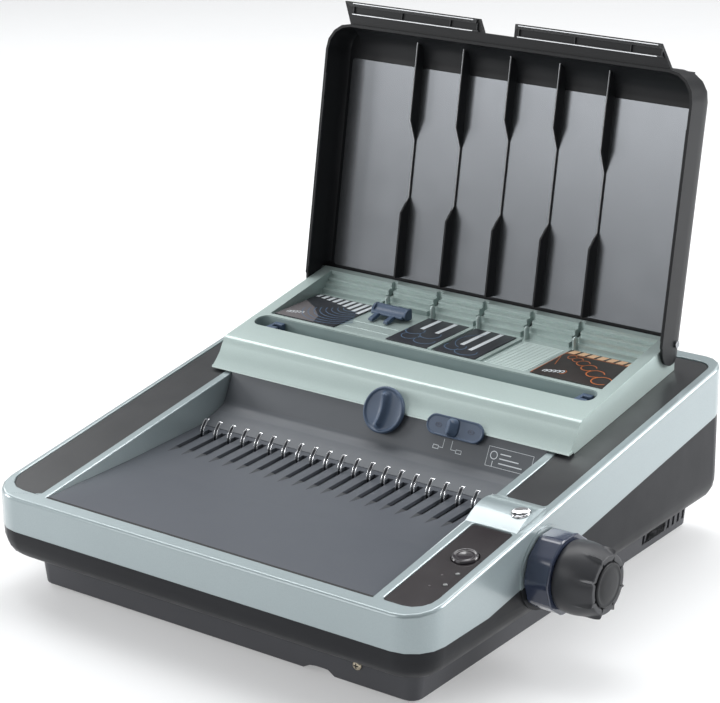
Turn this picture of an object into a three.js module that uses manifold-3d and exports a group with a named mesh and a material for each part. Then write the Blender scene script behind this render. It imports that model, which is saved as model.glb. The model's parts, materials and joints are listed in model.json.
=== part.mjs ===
// Electric comb binding machine, built from its separate pieces.
// Millimetres, +Z up. +X runs along the comb towards the knob, +Y runs from the front to the back.
// Inside this file the machine's symmetry plane is x = 0 and the underside of the plinth is z = 0;
// the outermost group then shifts everything so that the origin is the middle of the object's footprint.

import * as THREE from 'three';
import { mergeVertices } from 'three/addons/utils/BufferGeometryUtils.js';
import Module from 'manifold-3d';

const wasm = await Module();
wasm.setup();

// ---------------------------------------------------------------- driving dimensions
const GAP = 0.3;                    // running and assembly gap between neighbours
const WALL = 3;                     // moulded wall thickness
const DEG = Math.PI / 180;

const FRAME = { x: 210.3, front: -220.6, rear: 219, rFront: 28, rRear: 20 };
const PLINTH = { x: 186, front: -194.2, rear: 211.2, r: 12, top: 24.6, draft: 2.6 };
const FOOT = { r: 9, drop: 3, inset: 26 };
const VENTS = { count: 10, y: 132.5, pitch: 8.2, width: 3.6, z0: 6, z1: 18.5 };
const FRONT_NOTCH = { x0: 80, x1: 112, top: 4.6, depth: 9 };
const SCREW = { x: 133.7, z: 17.4, r: 1.8, head: 4 };
const INLET = { x0: -150, x1: -122, z0: 34, z1: 56, proud: 225, well: 211 };
const SWITCH = { x: -100, y: 214, z: 41, half: 9.4 };

const SLOPE = 0.1463;               // rise of the silver top per mm towards the back
const TOP = { y: -208.1, z: 84.5 }; // a point on that sloping top plane
const BAND_Z = 53.6;                // lower edge of the silver band, in front of its kink
const BAND_KINK_Y = -137;           // behind this the lower edge runs parallel to the top

const RIDGE = { inner: 158.4, outer: 165.6, rear: 60 };
const RIM_X = { left: 205.4, right: 201.9 };   // inner edge of the silver rim at each side
const RECESS = 1;                   // depth of the dark side panels under the silver
const BRIDGE = { front: -90.4, rear: -47.9, rise: 6 };
const WINDOW = { x: 195.4, y: -71.5, r: 7.6, sunk: 1.6 };
const BUTTON = { x: 187, y: -132.5, r: 10.2 };
const LEDS = { x: 195, yReady: -154, yCheck: -170, r: 1.9 };

const TABLE = { front: -207.8, crease: -113.8, rear: -18.2, zFront: 84.1, zCrease: 83, zRear: 84.8 };
const HOOKS = { count: 21, pitch: 14.2875, y: -28.8, top: 97, width: 3.4 };

const FASCIA = { yLow: 10.8, zLow: 92.4, yTop: 24.3, zTop: 119.4 };
const DIAL = { x: 4.6, along: 29.7, r: 19.4, spindle: 4, bore: 5 };
const SLIDER = { x: 74, along: 29.2, half: 27, height: 17 };
const TRAY = {
  x: 178.2, lipX: 178.8, lipY: 22.3, lipZ: 120, ridgeY: 42.7, ridgeZ: 143.6, rear: 186, rise: 0.177,
};
const FLOOR_Z = 150.3;              // floor of the comb compartments
const FLOOR = { front: 91, rear: 163, x: 167 };
const THROAT = { x0: -172, x1: 169, y0: 68, y1: 86 };
const RIB_X = [-1.6, 47.4];          // ribs between the comb compartments
const LABEL = { y0: 93.5, y1: 157.6, thick: 0.6 };
const GAUGE = { x0: -93, x1: -57, y0: 122, y1: 147, top: 161 };
const GUIDE = { xLeft: -152, xRight: 158, z0: 135, z1: 147.5 };

const LID = {
  x: 181.6, length: 221, depth: 30, wall: 2.4, r: 24, lean: 10.33, y: 188.66, z: 164.67, heel: 17.5,
};
const LID_AXIS = 7.5;               // hinge axis in front of the lid's inner face
const FIN_X = [-98, -50.2, -2.5, 45.8, 93.5];
const FIN_APEX = [127, 127, 140, 140, 127];
const FIN = { low: 12.5, high: 11.6, thin: 2, thick: 1.6 };

const SHAFT = { y: -62.4, z: 66.4, r: 4 };
const RING = { x0: 211.6, x1: 233, r: 30.5, bore: 6, flats: 10 };
const KNOB = { x1: 266, rBase: 27, rBelly: 29, rEnd: 21.5, rCap: 17.6, ridges: 8 };
const COLLAR = { r: 33, x1: 211.3 };
const COMB_PINION = { teeth: 18, module: 1, width: 8, x: 120 };

const DIE = { y0: 70.5, gap0: 75.2, gap1: 78.2, y1: 83, z0: 100, z1: 131, holeZ: 108, x: 151.7 };
const CAM = { y: 116, z: 111, r: 5, lobe: 10, throw: 4 };
const DRIVE = { module: 2, gearTeeth: 30, pinionTeeth: 10, rotor: 4, x0: 156, x1: 163 };
const MOTOR = { y: 148, z: 87, r: 26, x0: 95, x1: 151.6 };
const SIDE_PLATE = { x0: 152, x1: 155, y0: 45, y1: 178, z1: 134 };
const CHASSIS = { x: 176, front: -180, rear: 202, z0: 21.6, z1: 24 };
const DRAWER = { x0: -183.2, x1: 120, y0: 40, y1: 130, z0: 3.6, z1: 18.4 };
const BOARD_PLATE = { x0: -142, x1: -42, y0: 118, y1: 190, z0: 34, z1: 35.6 };

// ---------------------------------------------------------------- materials
const paint = (color, roughness, metalness = 0) =>
  new THREE.MeshStandardMaterial({ color, roughness, metalness });
const SILVER = paint(0xa6b2b6, 0.42, 0.35);
const SEA_SILVER = paint(0xacc0bb, 0.42, 0.35);
const CASING = paint(0x3c3c3f, 0.5);
const TABLE_GREY = paint(0x5e6266, 0.55);
const FASCIA_GREY = paint(0x5c5e63, 0.5);
const TROUGH = paint(0x3a3a3c, 0.45);
const GLOSS_PANEL = paint(0x3e3a3c, 0.15);
const LID_BLACK = paint(0x2a2b2d, 0.18);
const SLATE = paint(0x586882, 0.4);
const NAVY = paint(0x3c415a, 0.35);
const KNOB_BLACK = paint(0x3c3c3e, 0.38);
const CHROME = paint(0xd8dadc, 0.12, 1);
const STEEL = paint(0x9a9da0, 0.35, 0.9);
const RUBBER = paint(0x1d1d1e, 0.85);
const LABEL_COOL = paint(0x2c3038, 0.4);
const LABEL_WARM = paint(0x2e2826, 0.4);
const BOARD = paint(0x1f5a3a, 0.5);
const COPPER = paint(0x8a5a36, 0.5, 0.4);
const LED_GREEN = paint(0x4a6a58, 0.2);

// ---------------------------------------------------------------- solids
function toSolid(geometry) {
  const bare = geometry.clone();
  bare.deleteAttribute('normal');
  bare.deleteAttribute('uv');
  const merged = mergeVertices(bare, 1e-4);
  return new wasm.Manifold(new wasm.Mesh({
    numProp: 3,
    vertProperties: new Float32Array(merged.attributes.position.array),
    triVerts: new Uint32Array(merged.index.array),
  }));
}

function toGeometry(solid) {
  const mesh = solid.getMesh();
  const geometry = new THREE.BufferGeometry();
  geometry.setAttribute('position', new THREE.BufferAttribute(mesh.vertProperties, 3));
  geometry.setIndex(new THREE.BufferAttribute(mesh.triVerts, 1));
  geometry.computeVertexNormals();
  return geometry;
}

function cut(base, tools) {
  return toGeometry(tools.reduce((solid, tool) => solid.subtract(toSolid(tool)), toSolid(base)));
}

function join(first, others) {
  return toGeometry(others.reduce((solid, other) => solid.add(toSolid(other)), toSolid(first)));
}

function box(x0, x1, y0, y1, z0, z1) {
  return new THREE.BoxGeometry(x1 - x0, y1 - y0, z1 - z0)
    .translate((x0 + x1) / 2, (y0 + y1) / 2, (z0 + z1) / 2);
}

function extrude(shape, depth, segments = 6) {
  return new THREE.ExtrudeGeometry(shape, { depth, bevelEnabled: false, curveSegments: segments });
}

// a closed outline from [a, b] pairs
function outline(points) {
  return new THREE.Shape(points.map(([a, b]) => new THREE.Vector2(a, b)));
}

// outline in the YZ plane, extruded along X
function prismX(points, x0, x1) {
  const toWorld = new THREE.Matrix4().makeBasis(
    new THREE.Vector3(0, 1, 0), new THREE.Vector3(0, 0, 1), new THREE.Vector3(1, 0, 0));
  return extrude(outline(points), x1 - x0).applyMatrix4(toWorld).translate(x0, 0, 0);
}

// outline in the XY plane, extruded along Z
function prismZ(shape, z0, z1, segments = 6) {
  return extrude(shape, z1 - z0, segments).translate(0, 0, z0);
}

// a solid of revolution about Y from [radius, height] pairs
const lathe = (profile, sides) =>
  new THREE.LatheGeometry(profile.map(([r, h]) => new THREE.Vector2(r, h)), sides);

// a round bar along X
function barX(radius, x0, x1, y, z, sides = 20) {
  return new THREE.CylinderGeometry(radius, radius, x1 - x0, sides)
    .rotateZ(-Math.PI / 2)
    .translate((x0 + x1) / 2, y, z);
}

// rectangle with its own radius at each corner, counted from front left, anticlockwise
function roundedRect(x0, x1, y0, y1, radii, segments = 4) {
  const [rFL, rFR, rRR, rRL] = radii;
  const corners = [
    [x0 + rFL, y0 + rFL, rFL, 180], [x1 - rFR, y0 + rFR, rFR, 270],
    [x1 - rRR, y1 - rRR, rRR, 0], [x0 + rRL, y1 - rRL, rRL, 90],
  ];
  const points = [];
  for (const [cx, cy, r, start] of corners) {
    for (let i = 0; i <= segments; i += 1) {
      const a = (start + 90 * i / segments) * DEG;
      points.push([cx + r * Math.cos(a), cy + r * Math.sin(a)]);
    }
  }
  return points;
}

// a closed skin through outlines of equal point count, one above the other
function loft(rings) {
  const count = rings[0].points.length;
  const position = [];
  for (const ring of rings) {
    for (const [x, y] of ring.points) position.push(x, y, ring.z);
  }
  const index = [];
  for (let r = 0; r + 1 < rings.length; r += 1) {
    for (let i = 0; i < count; i += 1) {
      const a = r * count + i;
      const b = r * count + (i + 1) % count;
      index.push(a, b, b + count, a, b + count, a + count);
    }
  }
  const flat = rings[0].points.map(([x, y]) => new THREE.Vector2(x, y));
  const last = (rings.length - 1) * count;
  for (const [a, b, c] of THREE.ShapeUtils.triangulateShape(flat, [])) {
    index.push(a, c, b);
    index.push(last + a, last + b, last + c);
  }
  const geometry = new THREE.BufferGeometry();
  geometry.setAttribute('position', new THREE.Float32BufferAttribute(position, 3));
  geometry.setIndex(index);
  return geometry;
}

const topZ = (y) => TOP.z + SLOPE * (y - TOP.y);
const bandZ = (y) => BAND_Z + SLOPE * Math.max(0, y - BAND_KINK_Y);

// a plate or wall whose underside and top follow two functions of y
function sloped(shape, bottom, top, segments = 6) {
  const geometry = extrude(shape, 1, segments);
  const position = geometry.attributes.position;
  for (let i = 0; i < position.count; i += 1) {
    const y = position.getY(i);
    position.setZ(i, position.getZ(i) < 0.5 ? bottom(y) : top(y));
  }
  return geometry;
}

const slopedBox = (x0, x1, y0, y1, bottom, top) =>
  sloped(outline([[x0, y0], [x1, y0], [x1, y1], [x0, y1]]), bottom, top);

const frameOutline = (inset = 0) => roundedRect(
  -FRAME.x + inset, FRAME.x - inset, FRAME.front + inset, FRAME.rear - inset,
  [FRAME.rFront, FRAME.rFront, FRAME.rRear, FRAME.rRear].map((r) => r - inset));

// outline between the plinth (share 0) and the silver frame (share 1), moved in by inset
function casingOutline(share, inset = 0) {
  const mix = (a, b) => a + (b - a) * share;
  const x = mix(PLINTH.x, FRAME.x) - inset;
  const rFront = mix(PLINTH.r, FRAME.rFront) - inset;
  const rRear = mix(PLINTH.r, FRAME.rRear) - inset;
  return roundedRect(-x, x, mix(PLINTH.front, FRAME.front) + inset, mix(PLINTH.rear, FRAME.rear) - inset,
    [rFront, rFront, rRear, rRear]);
}

const hookX = (i) => (i - (HOOKS.count - 1) / 2) * HOOKS.pitch;
const hookIndices = Array.from({ length: HOOKS.count }, (_, i) => i);

// a spur gear's outline with straight-sided teeth and a round bore
function gearShape(teeth, module, bore, phase = 0) {
  const pitchR = teeth * module / 2;
  const step = 2 * Math.PI / teeth;
  const points = [];
  for (let i = 0; i < teeth; i += 1) {
    const a = phase + i * step;
    const corners = [[-0.27, -1.2], [-0.12, 0.85], [0.12, 0.85], [0.27, -1.2]];
    for (const [turn, out] of corners) {
      const r = pitchR + out * module;
      points.push([r * Math.cos(a + turn * step), r * Math.sin(a + turn * step)]);
    }
  }
  const shape = outline(points);
  const hole = new THREE.Path();
  hole.absarc(0, 0, bore, 0, 2 * Math.PI, true);
  shape.holes.push(hole);
  return shape;
}

// a shape drawn in (y, z) about an axis point, extruded along X
function wheelX(shape, x0, x1, y, z) {
  const toWorld = new THREE.Matrix4().makeBasis(
    new THREE.Vector3(0, 1, 0), new THREE.Vector3(0, 0, 1), new THREE.Vector3(1, 0, 0));
  return extrude(shape, x1 - x0, 6).applyMatrix4(toWorld).translate(x0, y, z);
}

// ---------------------------------------------------------------- the assembly
const machine = new THREE.Group();

function add(name, geometry, material, parent = machine) {
  const mesh = new THREE.Mesh(geometry, material);
  mesh.name = name;
  parent.add(mesh);
  return mesh;
}

// a place on the sloping top: local +Z is its normal, lift its height over the silver
function onDeck(x, y, lift) {
  const group = new THREE.Group();
  group.position.set(x, y, topZ(y) + lift);
  group.rotation.x = Math.atan(SLOPE);
  machine.add(group);
  group.updateWorldMatrix(true, false);
  return group;
}

const windowPlace = onDeck(WINDOW.x, WINDOW.y, BRIDGE.rise - 0.6);
const buttonPlace = onDeck(BUTTON.x, BUTTON.y, -RECESS);
const ledPlaces = [['led_ready', LEDS.yReady], ['led_check', LEDS.yCheck]]
  .map(([name, y]) => [name, onDeck(LEDS.x, y, -RECESS)]);

// ---------------------------------------------------------------- housing
function basePlinth() {
  const outer = loft([
    { z: 0, points: casingOutline(0, PLINTH.draft) },
    { z: PLINTH.top, points: casingOutline(0) },
  ]);
  const hollow = prismZ(outline(casingOutline(0, PLINTH.draft + WALL + 1)), WALL, PLINTH.top + 1);
  const { x0, x1, top, depth } = FRONT_NOTCH;
  const backing = box(x0 - 5, x1 + 5, PLINTH.front + 5, PLINTH.front + depth + 6, 1, top + 3.5);
  const arch = [[x0, -1], [x0 + 8, top - 1.2], [x0 + 16, top], [x1 - 7, top - 0.4], [x1, -1]];
  const notch = extrude(outline(arch), depth + 10)
    .rotateX(Math.PI / 2)
    .translate(0, PLINTH.front + depth, 0);
  const drawerMouth = box(-PLINTH.x - 5, -PLINTH.x + 8, DRAWER.y0 - 0.6, DRAWER.y1 + 0.6,
    DRAWER.z0 - 0.5, DRAWER.z1 + 0.5);
  const vents = [];
  for (let i = 0; i < VENTS.count; i += 1) {
    const y = VENTS.y + VENTS.pitch * i;
    const [y0, y1] = [y - VENTS.width / 2, y + VENTS.width / 2];
    vents.push(box(PLINTH.x - 8, PLINTH.x + 5, y0, y1, VENTS.z0, VENTS.z1));
  }
  const screwHole = new THREE.CylinderGeometry(SCREW.r + GAP, SCREW.r + GAP, 20, 16)
    .translate(SCREW.x, PLINTH.front, SCREW.z);
  return cut(join(cut(outer, [hollow]), [backing]), [notch, drawerMouth, screwHole, ...vents]);
}

const shaftCollar = () => barX(COLLAR.r, FRAME.x - WALL - 2, COLLAR.x1, SHAFT.y, SHAFT.z, 36);
const shaftHole = () => barX(6, 190, 230, SHAFT.y, SHAFT.z, 18);

function lowerCasing() {
  const low = PLINTH.top + GAP;
  const profile = [[low, 0.1], [26, 0.36], [28.6, 0.58], [32.5, 0.78], [38, 0.91], [45, 0.975], [52, 0.985],
    [115, 0.985]];
  const outer = loft(profile.map(([z, share]) => ({ z, points: casingOutline(share) })));
  const hollow = loft([[low - 1, 0.1], ...profile, [116, 0.985]].map(([z, share]) =>
    ({ z, points: casingOutline(share, WALL) })));
  const above = prismX([[-260, BAND_Z - GAP], [BAND_KINK_Y, BAND_Z - GAP], [260, bandZ(260) - GAP],
    [260, 300], [-260, 300]], -260, 260);
  const collar = cut(shaftCollar(), [above]);
  const inletHole = box(INLET.x0 - 0.5, INLET.x1 + 0.5, 200, 230, INLET.z0 - 0.5, INLET.z1 + 0.5);
  const switchHalf = SWITCH.half + 1;
  const switchHole = box(SWITCH.x - switchHalf, SWITCH.x + switchHalf, 200, 230,
    SWITCH.z - 7.5, SWITCH.z + 7.5);
  return cut(join(cut(outer, [hollow, above]), [collar]), [shaftHole(), inletHole, switchHole]);
}

const SIDE_OPENINGS = {
  left: [-RIM_X.left, -RIDGE.outer, -207, 207.6, [22, 4, 4, 8]],
  panel: [RIDGE.outer, RIM_X.right, -207, BRIDGE.front, [4, 18, 4, 4]],
  right: [RIDGE.outer, RIM_X.right, BRIDGE.rear, 207.6, [4, 4, 10, 4]],
};

function topFrame() {
  const plate = sloped(outline(frameOutline()), (y) => topZ(y) - WALL, topZ);
  const belowBand = prismX([[BAND_KINK_Y, BAND_Z], [300, bandZ(300)], [300, 0], [BAND_KINK_Y, 0]], -260, 260);
  const skirt = cut(sloped(outline(frameOutline()), () => BAND_Z, topZ), [
    prismZ(outline(frameOutline(WALL)), 0, 300),
    belowBand,
  ]);
  const openings = [
    ...Object.values(SIDE_OPENINGS).map((limits) => roundedRect(...limits)),
    roundedRect(-RIDGE.inner, RIDGE.inner, TOP.y, TRAY.rear + 4, [0.2, 0.2, 1, 1]),
    roundedRect(-TRAY.x - 1, TRAY.x + 1, RIDGE.rear, TRAY.rear + 4, [1, 1, 1, 1]),
  ].map((points) => prismZ(outline(points), 0, 300));
  const ridges = [-1, 1].map((side) => {
    const x = [side * RIDGE.inner, side * RIDGE.outer].sort((a, b) => a - b);
    return slopedBox(x[0], x[1], TOP.y - 4, RIDGE.rear, () => 72, topZ);
  });
  const hump = [[BRIDGE.front, topZ(BRIDGE.front) - WALL]];
  for (let i = 0; i <= 10; i += 1) {
    const y = BRIDGE.front + (BRIDGE.rear - BRIDGE.front) * i / 10;
    hump.push([y, topZ(y) + BRIDGE.rise * Math.sin(Math.PI * i / 10)]);
  }
  hump.push([BRIDGE.rear, topZ(BRIDGE.rear) - WALL]);
  const bridge = prismX(hump.reverse(), RIDGE.inner, RIM_X.right + 2);
  const collar = cut(shaftCollar(), [belowBand]);
  const windowSeat = new THREE.CylinderGeometry(WINDOW.r + GAP, WINDOW.r + GAP, 20, 18)
    .rotateX(Math.PI / 2)
    .translate(0, 0, 10 - WINDOW.sunk)
    .applyMatrix4(windowPlace.matrixWorld);
  return cut(join(cut(plate, openings), [skirt, ...ridges, bridge, collar]), [shaftHole(), windowSeat]);
}

// a dark panel: a flange under the silver plate and a pad that fills the opening
function sidePanel(opening, x0, x1, y0, y1, radii) {
  const under = WALL + GAP;
  const flange = sloped(outline(roundedRect(x0, x1, y0, y1, radii)),
    (y) => topZ(y) - under - 2.4, (y) => topZ(y) - under);
  const [u0, u1, v0, v1, corners] = opening;
  const pad = sloped(outline(roundedRect(u0 + GAP, u1 - GAP, v0 + GAP, v1 - GAP, corners)),
    (y) => topZ(y) - under - 1, (y) => topZ(y) - RECESS);
  return join(flange, [pad]);
}

add('base_plinth', basePlinth(), CASING);
add('lower_casing', lowerCasing(), CASING);
add('top_frame', topFrame(), SILVER);
const innerX = RIDGE.outer + GAP;
const outerX = FRAME.x - WALL - 2 * GAP;
const { left, panel, right } = SIDE_OPENINGS;
add('trough_liner_left', sidePanel(left, -outerX, -innerX, -216, 214, [24, 1, 1, 16]), TROUGH);
add('trough_liner_right', sidePanel(right, innerX, outerX, BRIDGE.rear - 12, 214, [1, 1, 16, 1]), TROUGH);
add('control_panel',
  cut(sidePanel(panel, innerX, outerX, -216, BRIDGE.front + 12, [1, 24, 1, 1]), [
    new THREE.CylinderGeometry(BUTTON.r + 0.8, BUTTON.r + 0.8, 40, 18)
      .rotateX(Math.PI / 2)
      .applyMatrix4(buttonPlace.matrixWorld),
    ...ledPlaces.map(([, place]) => new THREE.CylinderGeometry(LEDS.r + GAP, LEDS.r + GAP, 40, 12)
      .rotateX(Math.PI / 2)
      .applyMatrix4(place.matrixWorld)),
  ]), GLOSS_PANEL);

for (const [side, x] of [['left', -1], ['right', 1]]) {
  for (const [end, y] of [['front', PLINTH.front + FOOT.inset], ['rear', PLINTH.rear - FOOT.inset]]) {
    const foot = new THREE.CylinderGeometry(FOOT.r, FOOT.r - 1, FOOT.drop - GAP, 16).rotateX(Math.PI / 2)
      .translate(x * (PLINTH.x - FOOT.inset), y, -(FOOT.drop + GAP) / 2);
    add(`foot_${end}_${side}`, foot, RUBBER);
  }
}

const screwProfile = [[0, -8], [SCREW.r, -8], [SCREW.r, 0.6], [SCREW.head, 0.6], [SCREW.head, 1.6],
  [SCREW.head - 1, 2.4], [0, 2.4]];
const frontScrew = lathe(screwProfile, 12)
  .rotateX(Math.PI)
  .translate(SCREW.x, PLINTH.front + 0.4, SCREW.z);
add('front_screw', frontScrew, STEEL);

// ---------------------------------------------------------------- working area
function workTable() {
  const surface = [[TABLE.rear, TABLE.zRear], [TABLE.crease, TABLE.zCrease], [TABLE.front, TABLE.zFront]];
  const underside = surface.map(([y, z]) => [y, z - WALL]).reverse();
  const plate = prismX([...underside, ...surface], -RIDGE.inner + GAP, RIDGE.inner - GAP);
  const slotHalf = HOOKS.width / 2 + 1;
  const slots = hookIndices.map((i) => box(hookX(i) - slotHalf, hookX(i) + slotHalf, -67, -24, 70, 100));
  return cut(plate, slots);
}

function hookGuide() {
  const front = TABLE.rear + GAP;
  const rear = FASCIA.yLow - 0.4;
  return prismX([[front, 80], [rear, 80], [rear, 92.2], [2, 91.4], [-8, 88.6], [front, 85.2]],
    -RIDGE.inner + GAP, RIDGE.inner - GAP);
}

function fasciaPanel(spindle) {
  const plate = prismX([
    [FASCIA.yLow, FASCIA.zLow], [FASCIA.yLow + 3.6, FASCIA.zLow], [FASCIA.yTop + 3.4, FASCIA.zTop],
    [FASCIA.yTop, FASCIA.zTop],
  ], -RIDGE.inner + GAP, RIDGE.inner - GAP);
  return cut(plate, [spindle]);
}

// a place on the fascia: local +Z points out of it and local +Y runs up it
const FASCIA_TILT = Math.atan2(FASCIA.zTop - FASCIA.zLow, FASCIA.yTop - FASCIA.yLow);
function onFascia(x, along) {
  const group = new THREE.Group();
  const y = FASCIA.yLow + along * Math.cos(FASCIA_TILT);
  group.position.set(x, y, FASCIA.zLow + along * Math.sin(FASCIA_TILT));
  group.rotation.x = FASCIA_TILT;
  machine.add(group);
  group.updateWorldMatrix(true, false);
  return group;
}

const dialSeat = onFascia(DIAL.x, DIAL.along);
const spindleHole = new THREE.CylinderGeometry(DIAL.bore, DIAL.bore, 24, 18)
  .rotateX(Math.PI / 2)
  .applyMatrix4(dialSeat.matrixWorld);

function depthDial() {
  const { r, spindle } = DIAL;
  const disc = lathe([
    [0, -4], [spindle, -4], [spindle, 3], [r - 1, 3], [r, 4], [r, 6], [r - 1.2, 7.4], [r - 3.8, 7.4],
    [r - 4.6, 6.6],
    [0, 6.6],
  ], 28).rotateX(Math.PI / 2);
  const reach = r - 3.8;
  const grip = extrude(outline([
    [-2.4, -reach], [2.4, -reach], [4.4, 0], [2.4, reach], [-2.4, reach], [-4.4, 0],
  ]), 6.5).translate(0, 0, 5);
  return join(disc, [grip]);
}

function sliderPlate() {
  const halfHeight = SLIDER.height / 2;
  const stadium = roundedRect(-SLIDER.half, SLIDER.half, -halfHeight, halfHeight,
    Array(4).fill(halfHeight - 0.1));
  const plate = extrude(outline(stadium), 2.6).translate(0, 0, 2.8);
  const leg = box(-SLIDER.half + 5, SLIDER.half - 5, -8, -2, GAP, 3.4);
  return join(plate, [leg]);
}

const sliderSeat = onFascia(SLIDER.x, SLIDER.along);
add('work_table', workTable(), TABLE_GREY);
add('hook_guide', hookGuide(), FASCIA_GREY);
add('fascia_panel', fasciaPanel(spindleHole), FASCIA_GREY);
add('depth_dial', depthDial(), SLATE, dialSeat);
add('margin_plate', sliderPlate(), SLATE, sliderSeat);
add('margin_slider',
  extrude(outline([[-4.5, -6], [4.5, -6], [6, 0], [4.5, 7.5], [-4.5, 7.5], [-6, 0]]), 6)
    .translate(-2, 0, 5.7),
  SLATE, sliderSeat);

// ---------------------------------------------------------------- comb tray
const rimZ = (y) => TRAY.ridgeZ + TRAY.rise * (y - TRAY.ridgeY);

function combTray(spindle) {
  const flankFoot = (y) => topZ(y) - RECESS + GAP;
  const body = prismX([
    [TRAY.lipY, TRAY.lipZ], [31, 120.4], [31, flankFoot(31)], [TRAY.rear, flankFoot(TRAY.rear)],
    [TRAY.rear, rimZ(TRAY.rear) - 1.2], [TRAY.rear - 2, rimZ(TRAY.rear - 2)], [TRAY.ridgeY, TRAY.ridgeZ],
    [39.2, 141.4], [36, 136.6], [32.6, 130.8], [27.6, 125.6], [22.9, 121.6],
  ], -TRAY.x, TRAY.x);
  const lip = prismX([[TRAY.lipY, TRAY.lipZ], [28, 120.3], [27.6, 122.6], [22.9, 121.6]],
    -TRAY.lipX, TRAY.lipX);
  const hollow = prismX([
    [30.9, 60], [183, 60], [183, 160.5], [165, FLOOR_Z - WALL], [88, FLOOR_Z - WALL], [66.5, 144.3],
    [44, 140], [37.5, 133], [34, 127], [34, 120.4], [30.9, 120.4],
  ], -TRAY.x + WALL, TRAY.x - WALL);
  const pocket = prismX([
    [89, 220], [89, FLOOR_Z + 1.9], [FLOOR.front, FLOOR_Z], [FLOOR.rear, FLOOR_Z], [FLOOR.rear, 154.4],
    [168, 154.4], [168, 158.6], [173, 158.6], [173, 162.7], [178, 162.7], [178, 220],
  ], -FLOOR.x, FLOOR.x);
  const mouth = roundedRect(THROAT.x0, THROAT.x1, THROAT.y0, THROAT.y1, [8, 8, 8, 8]);
  const throat = prismZ(outline(mouth), 60, 260);
  const notches = FIN_X.map((x) => box(x - 2.6, x + 2.6, 158, 181.5, FLOOR_Z, 220));
  const ribs = RIB_X.map((x) => box(x - 2, x + 2, 93, 156, FLOOR_Z - 1, FLOOR_Z + 1.4));
  return cut(join(cut(body, [hollow, pocket]), [lip, ...ribs]), [throat, ...notches, spindle]);
}

add('comb_tray', combTray(spindleHole), SEA_SILVER);
for (const [name, x0, x1, material] of [
  ['size_label_left', -165.5, -101.5, LABEL_COOL], ['size_label_mid_left', -47, -5, LABEL_COOL],
  ['size_label_mid_right', 1.5, 43, LABEL_COOL], ['size_label_right', 96.8, 165.5, LABEL_WARM],
]) {
  add(name, box(x0, x1, LABEL.y0, LABEL.y1, FLOOR_Z + GAP, FLOOR_Z + GAP + LABEL.thick), material);
}

function thicknessGauge() {
  const { x0, x1, y0, y1, top } = GAUGE;
  const back = box(x0, x1, y1 - 5, y1, FLOOR_Z + GAP, top);
  const shelf = box(x0, x1, y0 + 11, y1 - 4, top - 6.5, top - 3);
  const prongs = [x0 + 9, x1 - 11].map((x) =>
    box(x - 2.2, x + 2.2, y0, y0 + 12, FLOOR_Z + 3 * GAP, top - 3));
  return join(back, [shelf, ...prongs]);
}
add('thickness_gauge', thicknessGauge(), SLATE);

function edgeGuide(x) {
  const block = box(x - 5, x + 5, THROAT.y0 + 1.2, THROAT.y1 - 1.2, GUIDE.z0, GUIDE.z1);
  const mid = (THROAT.y0 + THROAT.y1) / 2;
  return cut(block, [box(x - 2, x + 6, mid - 2.5, mid + 2.5, GUIDE.z0 - 5, GUIDE.z1 + 5)]);
}
add('edge_guide_left', edgeGuide(GUIDE.xLeft), SLATE);
add('edge_guide_right', edgeGuide(GUIDE.xRight), SLATE);

// ---------------------------------------------------------------- lid, in its own leaning frame
// local +Y runs up the lid from its heel, local +Z is the lid's inner side, z = 0 its inner face
function lidShell() {
  const rim = (inset, heel) => roundedRect(-LID.x + inset, LID.x - inset, heel, LID.length - inset,
    [0.01, 0.01, LID.r - inset, LID.r - inset]);
  const outer = loft([[-WALL, 5], [-1.5, 2.8], [1.5, 1.2], [6, 0.3], [12, 0], [LID.depth, 0]]
    .map(([z, inset]) => ({ z, points: rim(inset, -LID.heel) })));
  const inner = loft([[0, 5.4], [2, 3.8], [6, 2.8], [12, LID.wall], [LID.depth + 5, LID.wall]]
    .map(([z, inset]) => ({ z, points: rim(inset, -LID.heel - 5) })));
  const square = LID.x - LID.wall;
  const shell = cut(outer, [inner, box(-square, square, -40, 7, 0, 60)]);
  const belowPanel = box(-square, square, -40, -2, -10, 60);
  const heelRound = cut(box(-200, 200, -40, 0.2, -20, 60), [barX(15.5, -210, 210, -2, 13.5, 32),
    box(-210, 210, -2, 10, -30, 70)]);
  const coveRadius = 26;
  const coveX = LID.x - 17;           // the cove ends inside the round corners
  const cove = cut(
    box(-coveX, coveX, LID.length - LID.wall - coveRadius, LID.length - 1.6, -1, coveRadius), [
      barX(coveRadius, -220, 220, LID.length - LID.wall - coveRadius, coveRadius, 48)]);
  const fins = FIN_X.map((x, i) => prismX([
    [6, -1], [205, -1], [212, FIN.high], [FIN_APEX[i] + 18, FIN.high], [FIN_APEX[i], FIN.thin],
    [77, FIN.thin], [64, FIN.low], [6, FIN.low],
  ], x - FIN.thick / 2, x + FIN.thick / 2));
  const base = LID.length - 2;
  const [step, tip] = [LID.length + 8, LID.length + 19];
  const flaps = prismZ(outline([
    [-158, base], [159, base], [146, tip], [8.5, tip], [8.5, step], [-22, step], [-27.5, tip], [-167, tip],
  ]), 24, 28);
  const pinHoles = barX(3.2, -200, 200, 0, LID_AXIS, 18);
  const bare = cut(shell, [belowPanel, heelRound, pinHoles]);
  return join(bare, [cove, ...fins, flaps]);
}

const lidGroup = new THREE.Group();
lidGroup.position.set(0, LID.y, LID.z);
lidGroup.rotation.x = (90 - LID.lean) * DEG;
machine.add(lidGroup);
add('lid_shell', lidShell(), LID_BLACK, lidGroup);
for (const [side, sign] of [['left', -1], ['right', 1]]) {
  const x = [sign * (TRAY.x + GAP), sign * (LID.x + 1.6)].sort((a, b) => a - b);
  add(`hinge_pin_${side}`, barX(3, x[0], x[1], 0, LID_AXIS, 18), STEEL, lidGroup);
}

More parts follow.
